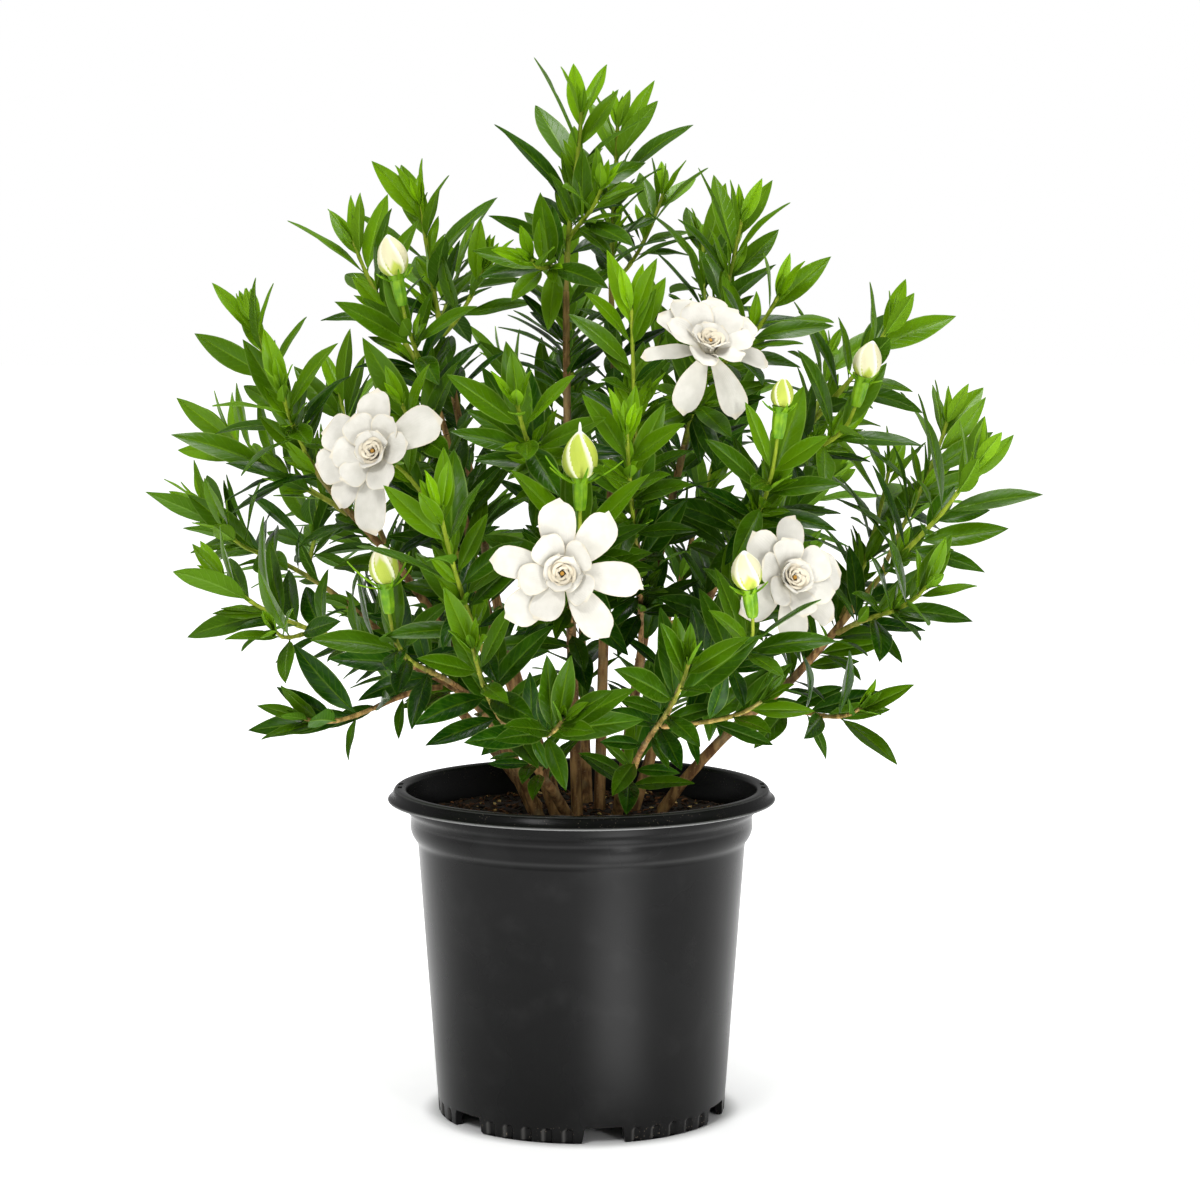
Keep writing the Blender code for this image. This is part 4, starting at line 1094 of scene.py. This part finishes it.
def make_pot(material):
    """The nursery pot, with its rolled lip, notched foot, grooves and hanger slots."""
    skin = Skin()
    rings, uvs = [], []
    outside = POT_SECTION.index((117.5, 194.0))
    for index, (radius, height) in enumerate(POT_SECTION[1:-1], start=1):
        on_crest = CREST_INSIDE < radius < CREST_OUTSIDE and height > CREST_HEIGHT
        on_foot = index > outside and radius > FOOT_INSIDE
        ring, ring_uvs = [], []
        for k in range(POT_COLUMNS):
            angle = 2 * math.pi * k / POT_COLUMNS
            r, z = radius, height
            if on_foot:
                r -= groove_depth(angle, z) if radius > GROOVED_WALL else 0.0
                hem = hem_height(angle)
                if z < hem:
                    z = hem + 0.04 * z
            if on_crest and in_hanger_slot(angle):
                z -= HANGER_DEPTH
            ring.append(Vector((r * math.cos(angle), r * math.sin(angle), z)) / 1000)
            ring_uvs.append((k / POT_COLUMNS, index / len(POT_SECTION)))
        rings.append(ring[::-1])
        uvs.append(ring_uvs[::-1])
    skin.loft(rings, uvs, [0.0] * len(rings), 0.5, [0] * POT_COLUMNS,
              Vector((0, 0, POT_SECTION[0][1] / 1000)), Vector((0, 0, POT_SECTION[-1][1] / 1000)))
    # the tone of the foot's corners carries a painted highlight along one edge of each groove
    for index, corner in enumerate(skin.verts):
        if corner.z < 0.013 and math.hypot(corner.x, corner.y) > 0.1:
            skin.tones[index] = groove_highlight(math.atan2(corner.y, corner.x), corner.z * 1000)
    return skin.build("pot_shell", [material], 40)


SOIL_SWELLS = [(22, 0.0028), (90, 0.0016), (260, 0.0009)]   # scale and height of the unevenness
SOIL_LIFT = 0.0022
SOIL_SURFACE_RINGS = 49
SOIL_SIDES = 200
SOIL_BODY = [(0.1180, 0.203), (0.1148, 0.195), (0.1013, 0.0160), (0.05, 0.0156)]
SOIL_FOOT = 0.0156
CHIP_COUNT = 1100
CHIP_REACH = 0.114
FIBRE_SHARE = 0.22
FIBRE_SIZES = [(0.006, 0.014), (0.0008, 0.0016), (0.0007, 0.0012)]      # length, width, height
CHIP_SIZES = [(0.002, 0.0075), (0.0015, 0.0045), (0.0012, 0.003)]
GRAIN_SHARE = 0.07
CHIP_RINGS = [(-0.5, 0.45), (-0.2, 1.0), (0.2, 0.9), (0.5, 0.4)]   # share of the length, fatness
CHIP_SIDES = 5


def soil_height(x, y):
    """Height of the uneven soil surface."""
    spot = Vector((x, y, 0.0))
    swell = sum(noise.noise(spot * scale) * height for scale, height in SOIL_SWELLS)
    edge = max(0.0, (math.hypot(x, y) - 0.095) / 0.025)
    return SOIL_TOP + SOIL_LIFT + swell - SOIL_SINK * edge


def make_soil(material):
    """The lumpy soil surface with the mass under it."""
    skin = Skin()
    rings, uvs = [], []
    last = SOIL_SURFACE_RINGS - 1
    surface = [(0.004 + 0.1156 * (i / last), None) for i in range(SOIL_SURFACE_RINGS)]
    for radius, height in surface + SOIL_BODY:
        ring = []
        for k in range(SOIL_SIDES):
            angle = 2 * math.pi * k / SOIL_SIDES
            x, y = radius * math.cos(angle), radius * math.sin(angle)
            ring.append(Vector((x, y, soil_height(x, y) if height is None else height)))
        rings.append(ring[::-1])
        uvs.append([(k / SOIL_SIDES, radius) for k in range(SOIL_SIDES)])
    skin.loft(rings, uvs, [0.2] * len(rings), 0.5, [0] * SOIL_SIDES,
              Vector((0, 0, soil_height(0, 0))), Vector((0, 0, SOIL_FOOT)))
    return skin.build("soil_mass", [material], 80)


def make_chips(rng, material):
    """Loose bark chips, fibres and pale grains lying on the soil."""
    skin = Skin()
    for _ in range(CHIP_COUNT):
        radius = CHIP_REACH * math.sqrt(rng.random())
        angle = rng.uniform(0, 2 * math.pi)
        x, y = radius * math.cos(angle), radius * math.sin(angle)
        spans = FIBRE_SIZES if rng.random() < FIBRE_SHARE else CHIP_SIZES
        length, width, height = [rng.uniform(*span) for span in spans]
        tone = 1.0 if rng.random() < GRAIN_SHARE else rng.uniform(0.0, 0.85)
        spin = Matrix.Rotation(rng.uniform(0, math.pi), 3, "Z")
        tilt = Matrix.Rotation(rng.uniform(-0.5, 0.5), 3, "X")
        tilt = tilt @ Matrix.Rotation(rng.uniform(-0.45, 0.45), 3, "Y")
        centre = Vector((x, y, soil_height(x, y) + height * 0.25))
        rings = []
        for share, swell in CHIP_RINGS:
            ring = []
            for k in range(CHIP_SIDES):
                turn = 2 * math.pi * k / CHIP_SIDES
                fat = swell * rng.uniform(0.75, 1.15)
                local = Vector((share * length, math.cos(turn) * width / 2 * fat,
                                math.sin(turn) * height / 2 * fat))
                ring.append(centre + spin @ (tilt @ local))
            rings.append(ring)
        tail, tip = [sum(ring, Vector()) / CHIP_SIDES for ring in (rings[0], rings[-1])]
        uvs = [[(0.5, 0.5)] * CHIP_SIDES] * len(rings)
        skin.loft(rings, uvs, [tone] * len(rings), rng.random(), [0] * CHIP_SIDES, tail, tip)
    return skin.build("soil_chips", [material], 25)


# ---------------------------------------------------------------- materials
class Graph:
    """A Principled material and the nodes that feed it."""

    def __init__(self, name, **numbers):
        self.material = bpy.data.materials.new(name)
        self.material.use_nodes = True
        self.tree = self.material.node_tree
        self.shader = self.tree.nodes["Principled BSDF"]
        for socket, value in numbers.items():
            self.shader.inputs[socket.replace("_", " ")].default_value = value

    def join(self, socket, value):
        if isinstance(value, bpy.types.NodeSocket):
            self.tree.links.new(value, socket)
        elif isinstance(value, tuple) and len(value) == 3 and socket.type == "RGBA":
            socket.default_value = (*value, 1.0)
        else:
            socket.default_value = value

    def node(self, kind, inputs=None, output=0, **settings):
        made = self.tree.nodes.new("ShaderNode" + kind)
        for key, value in settings.items():
            setattr(made, key, value)
        for key, value in (inputs or {}).items():
            self.join(made.inputs[key], value)
        return made.outputs[output]

    def math(self, operation, *values):
        return self.node("Math", dict(enumerate(values)), operation=operation)

    def mix(self, share, first, second):
        return self.node("MixRGB", {"Fac": share, "Color1": first, "Color2": second})

    def tint(self, colour, mask, share, second):
        """Lay a second colour over the first where the mask is, at a share of its strength."""
        return self.mix(self.math("MULTIPLY", mask, share), colour, second)

    def grade(self, field, first, second):
        """Go from the first colour to the second over the middle range of a noise."""
        return self.mix(self.span(field, 0.3, 0.7), first, second)

    def span(self, value, low, high, start=0.0, end=1.0):
        """Smoothly map a value from low..high to start..end."""
        inputs = {"Value": value, "From Min": low, "From Max": high, "To Min": start, "To Max": end}
        return self.node("MapRange", inputs, interpolation_type="SMOOTHSTEP")

    def place(self):
        return self.node("TexCoord", output=3)

    def noise(self, scale, detail=2.0, stretch=None):
        vector = self.place()
        if stretch:
            vector = self.node("Mapping", {"Vector": vector, "Scale": stretch})
        return self.node("TexNoise", {"Vector": vector, "Scale": scale, "Detail": detail})

    def value(self, name):
        return self.node("Attribute", output=2, attribute_name=name)

    def across_and_along(self):
        """The UV of a leaf or petal: 0..1 from edge to edge, 0..1 from foot to tip."""
        return self.split(self.node("UVMap", uv_map="growth_uv"))[:2]

    def split(self, vector):
        """The X, Y and Z of a vector."""
        parts = self.tree.nodes.new("ShaderNodeSeparateXYZ")
        self.join(parts.inputs[0], vector)
        return parts.outputs[0], parts.outputs[1], parts.outputs[2]

    def off_middle(self, across):
        """0 on the midrib of a leaf or petal, 1 on its margin."""
        return self.math("ABSOLUTE", self.math("MULTIPLY_ADD", across, 2.0, -1.0))

    def finish(self, colour, roughness, height, strength, distance):
        """Join the colour, roughness and bump to the shader."""
        self.join(self.shader.inputs["Base Color"], colour)
        self.join(self.shader.inputs["Roughness"], roughness)
        bump = self.node("Bump", {"Height": height, "Strength": strength, "Distance": distance})
        self.join(self.shader.inputs["Normal"], bump)
        return self.material


def leaf_veins(g):
    """Distance off a leaf's midrib, and the masks of the midrib and the side veins."""
    x, y = g.across_and_along()
    wide = g.off_middle(x)
    midrib = g.span(wide, 0.02, 0.12, 1.0, 0.0)
    phase = g.math("SUBTRACT", g.math("MULTIPLY", y, 10.0), g.math("MULTIPLY", wide, 1.9))
    ridge = g.math("PINGPONG", phase, 0.5)
    vein = g.span(ridge, 0.0, 0.11, 1.0, 0.0)
    vein = g.math("MULTIPLY", vein, g.span(wide, 0.75, 0.98, 1.0, 0.0))
    return wide, midrib, vein


def leaf_top():
    """Glossy upper leaf: dark green on old leaves and where painted shade lowers the tone, with pale veins
    and a thin pale margin that is a painted highlight.
    """
    g = Graph("leaf_top", IOR=1.45, Specular_IOR_Level=0.14)
    wide, midrib, vein = leaf_veins(g)
    tone, shade = g.value("tone"), g.value("shade")
    colour = g.mix(tone, (0.0045, 0.033, 0.0003), (0.225, 0.455, 0.003))
    mottle = g.noise(90.0, 3.0)
    colour = g.mix(g.span(mottle, 0.35, 0.7, 0.0, 0.26), colour, (0.062, 0.180, 0.001))
    colour = g.tint(colour, shade, 0.45, (0.006, 0.038, 0.0003))
    colour = g.tint(colour, vein, 0.16, (0.120, 0.270, 0.006))
    midrib_share = g.math("MULTIPLY_ADD", tone, 0.32, 0.20)
    colour = g.tint(colour, midrib, midrib_share, (0.230, 0.410, 0.020))
    # painted highlight: a thin pale margin along the leaf's edge
    colour = g.tint(colour, g.span(wide, 0.86, 1.0), 0.30, (0.300, 0.430, 0.090))
    height = g.math("ADD", g.math("MULTIPLY", midrib, -0.7), g.math("MULTIPLY", vein, -0.30))
    height = g.math("ADD", height, g.math("MULTIPLY", g.noise(420.0, 2.0), 0.20))
    return g.finish(colour, g.span(mottle, 0.3, 0.7, 0.21, 0.32), height, 0.5, 0.0005)


def leaf_underside():
    """Paler and duller underside of a leaf."""
    g = Graph("leaf_underside", IOR=1.4, Specular_IOR_Level=0.06)
    _, midrib, vein = leaf_veins(g)
    colour = g.mix(g.value("tone"), (0.032, 0.105, 0.005), (0.190, 0.370, 0.012))
    lines = g.math("MAXIMUM", midrib, g.math("MULTIPLY", vein, 0.5))
    colour = g.tint(colour, lines, 0.6, (0.180, 0.340, 0.040))
    height = g.math("ADD", midrib, g.math("MULTIPLY", vein, 0.5))
    return g.finish(colour, g.span(g.noise(200.0), 0.3, 0.7, 0.5, 0.62), height, 0.6, 0.0006)


def young_green():
    """The smooth green of calyces."""
    g = Graph("young_green", IOR=1.42, Specular_IOR_Level=0.3)
    spots = g.noise(160.0, 3.0)
    colour = g.grade(spots, (0.085, 0.230, 0.004), (0.190, 0.360, 0.008))
    return g.finish(colour, g.span(spots, 0.3, 0.7, 0.34, 0.46), spots, 0.3, 0.0004)


def stem_bark():
    """Bark that runs from a brown woody foot to a green young end."""
    g = Graph("stem_bark", IOR=1.4, Specular_IOR_Level=0.25)
    streaks = g.noise(260.0, 4.0, stretch=(1.0, 1.0, 0.18))
    blotch = g.noise(45.0, 3.0)
    old = g.mix(g.span(streaks, 0.35, 0.68), (0.130, 0.060, 0.021), (0.430, 0.245, 0.095))
    old = g.mix(g.span(blotch, 0.52, 0.68, 0.0, 0.55), old, (0.240, 0.190, 0.095))
    young = g.grade(streaks, (0.190, 0.275, 0.012), (0.320, 0.400, 0.030))
    colour = g.mix(g.span(g.value("tone"), 0.15, 0.75), old, young)
    dots = g.node("TexVoronoi", {"Vector": g.place(), "Scale": 420.0})
    dot = g.span(dots, 0.16, 0.28, 1.0, 0.0)
    colour = g.tint(colour, dot, 0.35, (0.440, 0.320, 0.160))
    height = g.math("ADD", streaks, g.math("MULTIPLY", dot, 0.4))
    return g.finish(colour, g.span(streaks, 0.3, 0.7, 0.55, 0.8), height, 0.7, 0.0007)


def petal_white():
    """Soft white petals: cream at the edges and greenish at the foot."""
    g = Graph("petal_white", IOR=1.35, Specular_IOR_Level=0.25)
    x, y = g.across_and_along()
    wide = g.off_middle(x)
    grain = g.noise(120.0, 3.0)
    colour = g.grade(grain, (0.600, 0.582, 0.520), (0.670, 0.650, 0.590))
    rim = g.math("MAXIMUM", g.span(wide, 0.88, 1.0), g.span(y, 0.93, 1.0))
    colour = g.tint(colour, rim, 0.5, (0.70, 0.61, 0.42))
    colour = g.mix(g.span(y, 0.0, 0.28, 0.55, 0.0), colour, (0.57, 0.53, 0.32))
    colour = g.tint(colour, g.value("tone"), 0.45, (0.80, 0.68, 0.50))
    colour = g.mix(g.span(g.value("tone"), 0.8, 1.0), colour, (0.42, 0.22, 0.04))
    lines = g.math("PINGPONG", g.math("MULTIPLY", x, 14.0), 0.5)
    height = g.math("ADD", g.math("MULTIPLY", lines, 0.7), g.math("MULTIPLY", g.noise(320.0, 2.0), 0.6))
    return g.finish(colour, g.span(grain, 0.3, 0.7, 0.48, 0.60), height, 0.35, 0.0004)


def bud_petal():
    """Wound bud petals: green to cream, with pale edges and a white tip."""
    g = Graph("bud_petal", IOR=1.4, Specular_IOR_Level=0.3)
    x, y = g.across_and_along()
    tone = g.value("tone")
    green = g.mix(g.noise(60.0, 3.0), (0.35, 0.44, 0.04), (0.50, 0.56, 0.09))
    pale = g.mix(g.noise(35.0, 3.0), (0.60, 0.57, 0.32), (0.70, 0.66, 0.46))
    middle = g.math("PINGPONG", g.math("ADD", x, 0.05), 0.5)
    reach = g.math("MULTIPLY_ADD", tone, 0.95, g.math("MULTIPLY", middle, 0.55))
    fade = g.math("SUBTRACT", y, reach)
    colour = g.mix(g.span(fade, -0.11, 0.06), green, pale)
    edge = g.span(x, 0.64, 0.88)
    colour = g.tint(colour, edge, 0.85, (0.84, 0.83, 0.64))
    colour = g.mix(g.span(y, 0.93, 1.0), colour, (0.84, 0.83, 0.74))
    streak = g.noise(160.0, 3.0)
    lines = g.math("PINGPONG", g.math("MULTIPLY", x, 9.0), 0.5)
    return g.finish(colour, g.span(streak, 0.3, 0.7, 0.38, 0.5), lines, 0.3, 0.0004)


# Painted shade in the pot's creases and painted highlights along its lip edges and bands: height, half width,
# strength, and how pale.
POT_PAINTED_LINES = [
    (0.2277, 0.0012, 0.9, 0.260), (0.2353, 0.0006, 0.6, 0.090), (0.2165, 0.0016, 0.8, 0.0008),
    (0.2128, 0.0018, 0.55, 0.030), (0.1958, 0.0016, 0.8, 0.0008), (0.1995, 0.0024, 0.55, 0.030),
]


def pot_plastic():
    """Satin black plastic with faint scuffs and dust at the foot and on the rim, painted shade inside the pot
    and in its creases, and painted highlights on the lip, bands and groove edges.
    """
    g = Graph("pot_plastic", IOR=1.48, Specular_IOR_Level=0.12)
    height = g.split(g.place())[2]
    cloud = g.noise(11.0, 4.0)
    fine = g.noise(900.0, 2.0)
    scuff = g.noise(35.0, 6.0)
    colour = g.grade(cloud, (0.0040, 0.0040, 0.0040), (0.0065, 0.0065, 0.0066))
    _, along = g.across_and_along()
    outside = g.span(along, 0.18, 0.22)
    # painted shade along the creases and painted highlights along the lip edges and bands, on the outside
    # only
    for middle, half, strength, pale in POT_PAINTED_LINES:
        band = g.span(g.math("ABSOLUTE", g.math("SUBTRACT", height, middle)), 0.0, half, strength, 0.0)
        colour = g.tint(colour, band, outside, (pale, pale, pale))
    # painted shade: the inside of the pot is made darker than its outside
    colour = g.mix(g.span(along, 0.10, 0.16), (0.0015, 0.0015, 0.0015), colour)
    # painted highlight along one edge of each foot groove, carried in the tone
    colour = g.tint(colour, g.value("tone"), 0.9, (0.075, 0.073, 0.070))
    specks = g.node("TexVoronoi", {"Vector": g.place(), "Scale": 520.0})
    speck = g.span(specks, 0.10, 0.20, 1.0, 0.0)
    low = g.span(height, 0.004, 0.016, 1.0, 0.0)
    rim = g.math("MULTIPLY", g.span(height, 0.224, 0.229), 0.45)
    dusty = g.math("MULTIPLY", speck, g.math("MAXIMUM", low, rim))
    dusty = g.math("MULTIPLY", dusty, g.span(g.noise(70.0, 2.0), 0.45, 0.6))
    colour = g.tint(colour, dusty, 0.7, (0.30, 0.24, 0.18))
    colour = g.mix(g.span(scuff, 0.50, 0.85, 0.0, 0.03), colour, (0.20, 0.20, 0.20))
    rough = g.math("ADD", g.span(cloud, 0.3, 0.7, 0.24, 0.31), g.math("MULTIPLY", dusty, 0.3))
    return g.finish(colour, rough, fine, 0.12, 0.0003)


def soil_mix():
    """Dark peat, reddish bark and a few pale grains, by the tone of the piece."""
    g = Graph("soil_mix", IOR=1.3)
    grit = g.noise(500.0, 4.0)
    dark = g.grade(grit, (0.003, 0.0018, 0.0012), (0.026, 0.012, 0.006))
    bark = g.grade(grit, (0.060, 0.022, 0.008), (0.260, 0.110, 0.040))
    colour = g.mix(g.span(g.value("tone"), 0.25, 0.85, 0.0, 0.9), dark, bark)
    colour = g.mix(g.span(g.value("tone"), 0.93, 0.99), colour, (0.72, 0.50, 0.20))
    return g.finish(colour, g.span(grit, 0.3, 0.7, 0.7, 0.95), grit, 0.9, 0.0012)


# ---------------------------------------------------------------- stage
FLOOR_SIZE = 30.0
FLOOR_GLOW = 0.30
NEAR_GLOW = 0.50
SHEEN_TURN = 0.40           # where the floor is brightest, anticlockwise from the front
SHEEN_GLOW = 5.5
WORLD_LIGHT = 0.36
CAMERA_PLACE = (0.0, -2.400, 0.6229)
CAMERA_PITCH = 0.1049       # radians below the horizontal
CAMERA_LENS = 101.27
CAMERA_SHIFT = 0.0154


def make_stage():
    """A pale floor that glows round the pot, with a brighter wedge that the pot's wall reflects."""
    mesh = bpy.data.meshes.new("studio_floor")
    half = FLOOR_SIZE / 2
    corners = [(-half, -half, 0), (half, -half, 0), (half, half, 0), (-half, half, 0)]
    mesh.from_pydata(corners, [], [(0, 1, 2, 3)])
    floor = add_object("studio_floor", mesh)
    g = Graph("pale_floor", Roughness=0.9, Emission_Color=(1.0, 1.0, 1.0, 1.0))
    x, y, _ = g.split(g.place())
    away = g.math("SQRT", g.math("ADD", g.math("POWER", x, 2.0), g.math("POWER", y, 2.0)))
    near = g.span(away, 0.101, 0.119, 0.0, NEAR_GLOW)
    glow = g.math("ADD", near, g.span(away, 0.20, 1.6, 0.0, FLOOR_GLOW))
    angle = g.math("ARCTAN2", x, g.math("MULTIPLY", y, -1.0))
    wedge = g.span(g.math("ABSOLUTE", g.math("SUBTRACT", angle, SHEEN_TURN)), 0.02, 0.46, SHEEN_GLOW, 0.0)
    between = g.math("MULTIPLY", g.span(away, 0.14, 0.3), g.span(away, 0.6, 0.9, 1.0, 0.0))
    sheen = g.math("MULTIPLY", wedge, between)
    g.join(g.shader.inputs["Emission Strength"], g.math("ADD", glow, sheen))
    g.join(g.shader.inputs["Base Color"], g.grade(g.noise(1.5), (0.92, 0.92, 0.92), (0.94, 0.94, 0.94)))
    mesh.materials.append(g.material)


def add_light(name, place, aim, size, power):
    """A soft rectangular light that points at its aim."""
    light = bpy.data.lights.new(name, "AREA")
    light.shape = "RECTANGLE"
    light.size, light.size_y = size
    light.energy = power
    lamp = add_object(name, light)
    lamp.location = place
    lamp.rotation_euler = (Vector(aim) - Vector(place)).to_track_quat("-Z", "Y").to_euler()


def make_lights():
    """Three soft lights and a white world, which is seen brighter than it lights."""
    world = bpy.data.worlds.new("studio")
    world.use_nodes = True
    tree = world.node_tree
    background = tree.nodes["Background"]
    background.inputs["Color"].default_value = (1.0, 1.0, 1.0, 1.0)
    seen = tree.nodes.new("ShaderNodeLightPath").outputs["Is Camera Ray"]
    strength = tree.nodes.new("ShaderNodeMapRange")
    tree.links.new(seen, strength.inputs["Value"])
    strength.inputs["To Min"].default_value = WORLD_LIGHT
    strength.inputs["To Max"].default_value = 1.0
    tree.links.new(strength.outputs[0], background.inputs["Strength"])
    bpy.context.scene.world = world
    middle = (0.0, 0.0, 0.40)
    add_light("key_light", (-1.2, -2.2, 2.4), middle, (0.9, 0.9), 44)
    add_light("strip_light", (1.05, -2.10, 0.45), (0.0, 0.0, 0.16), (0.28, 0.9), 16)
    add_light("top_light", (0.2, 0.2, 2.8), middle, (1.2, 1.2), 56)
    bpy.context.scene.view_settings.view_transform = "Standard"
    bpy.context.scene.view_settings.look = "None"


def make_camera():
    """The photo's long lens, looking slightly down from in front."""
    data = bpy.data.cameras.new("camera")
    data.lens = CAMERA_LENS
    data.sensor_width = 36.0
    data.shift_x = CAMERA_SHIFT
    camera = add_object("camera", data)
    camera.location = CAMERA_PLACE
    camera.rotation_euler = (math.pi / 2 - CAMERA_PITCH, 0.0, 0.0)
    bpy.context.scene.camera = camera


# ---------------------------------------------------------------- assembly
def keep(piece, slot, *nodes):
    """Fix a piece to the part and let it stand for its CAD nodes. The slot is not used."""
    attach(piece, "root")
    if nodes:
        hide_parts(*nodes)


def youth_and_shade_at(height):
    """Share of their tone that leaves and stems have at a height: the lowest are the oldest, and on leaves
    the loss is also painted shade for the lower crown.
    """
    return clamp((height - LOW_TONE_HEIGHT) / (FULL_TONE_HEIGHT - LOW_TONE_HEIGHT), LOWEST_TONE_SHARE)


def build_cane(number, cane, room, rng, bark, leaf_materials):
    """The wood of a cane from under the soil up, and the leaves along it."""
    wood = Skin()
    foot = Vector((*CANES[number - 1][0], SOIL_TOP - 0.004))
    add_stem(wood, cane, lambda place: cane_radius(cane, place) * 1.04,
             lambda place: 0.30 * (place / cane.length) ** 2, [], foot, 12)
    keep(wood.build(f"cane_wood_{number:02d}", [bark], 60), "bark", f"cane_{number:02d}")
    leaves = Skin()
    for leaf, tone in add_cane_leaves(rng, room, cane):
        add_leaf(leaves, leaf, make_look(rng, tone))
    if leaves.faces:
        keep(leaves.build(f"cane_leaves_{number:02d}", leaf_materials), "leaf")


def build_shoot(number, sprig, room, rng, bark, leaf_materials):
    """The stems and the leaves of a shoot and its side sprigs."""
    wood, leaves = Skin(), Skin()
    for twig in [sprig] + sprig.kids:
        start = None
        if twig is not sprig:
            start = sprig.route.at(twig.place)[0]
        nodes = sorted({round(leaf.place, 6) for leaf in twig.leaves})
        # stems lower down are browner, by the same share of tone
        height_share = youth_and_shade_at(twig.route.points[-1].z)
        add_stem(wood, twig.route, twig.radius,
                 lambda place, twig=twig, height_share=height_share: wood_tone(twig.route, place) * height_share, nodes, start)
        grown = [(leaf, LEAF_TONES[min(leaf.order, len(LEAF_TONES) - 1)]) for leaf in twig.leaves]
        grown += add_small_growth(rng, room, twig)
        if not twig.blooming:
            grown += spear_leaves(rng, twig.route)
        for leaf, tone in grown:
            # tone lowered with height: older leaves, and painted shade on the lower crown
            add_leaf(leaves, kept_off_rim(leaf), make_look(rng, tone * youth_and_shade_at(leaf.base.z)))
    node = f"leafy_shoot_{number:02d}"
    keep(wood.build(f"shoot_wood_{number:02d}", [bark], 60), "bark", node)
    keep(leaves.build(f"shoot_leaves_{number:02d}", leaf_materials), "leaf", node)


def main():
    rng = random.Random(LOOK_SEED)
    canes, shoots, room = grow_shrub()
    bark = stem_bark()
    leaf_materials = [leaf_top(), leaf_underside()]
    green = young_green()
    for number, sprig in enumerate(shoots, start=1):
        build_shoot(number, sprig, room, rng, bark, leaf_materials)
    for number, cane in enumerate(canes, start=1):
        build_cane(number, cane, room, rng, bark, leaf_materials)
    petal = petal_white()
    for name in FLOWERS:
        flower, calyx = make_flower(name, rng, petal, green)
        keep(flower, "petal", name)
        keep(calyx, "leaf", name)
    wound = bud_petal()
    for name in BUDS:
        bud, calyx = make_bud(name, rng, wound, green)
        keep(bud, "bud", name)
        keep(calyx, "leaf", name)
    keep(make_pot(pot_plastic()), "black_plastic", "nursery_pot")
    soil = soil_mix()
    keep(make_soil(soil), "potting_mix", "potting_soil")
    keep(make_chips(rng, soil), "potting_mix", "potting_soil")
    make_stage()
    make_lights()
    make_camera()


main()
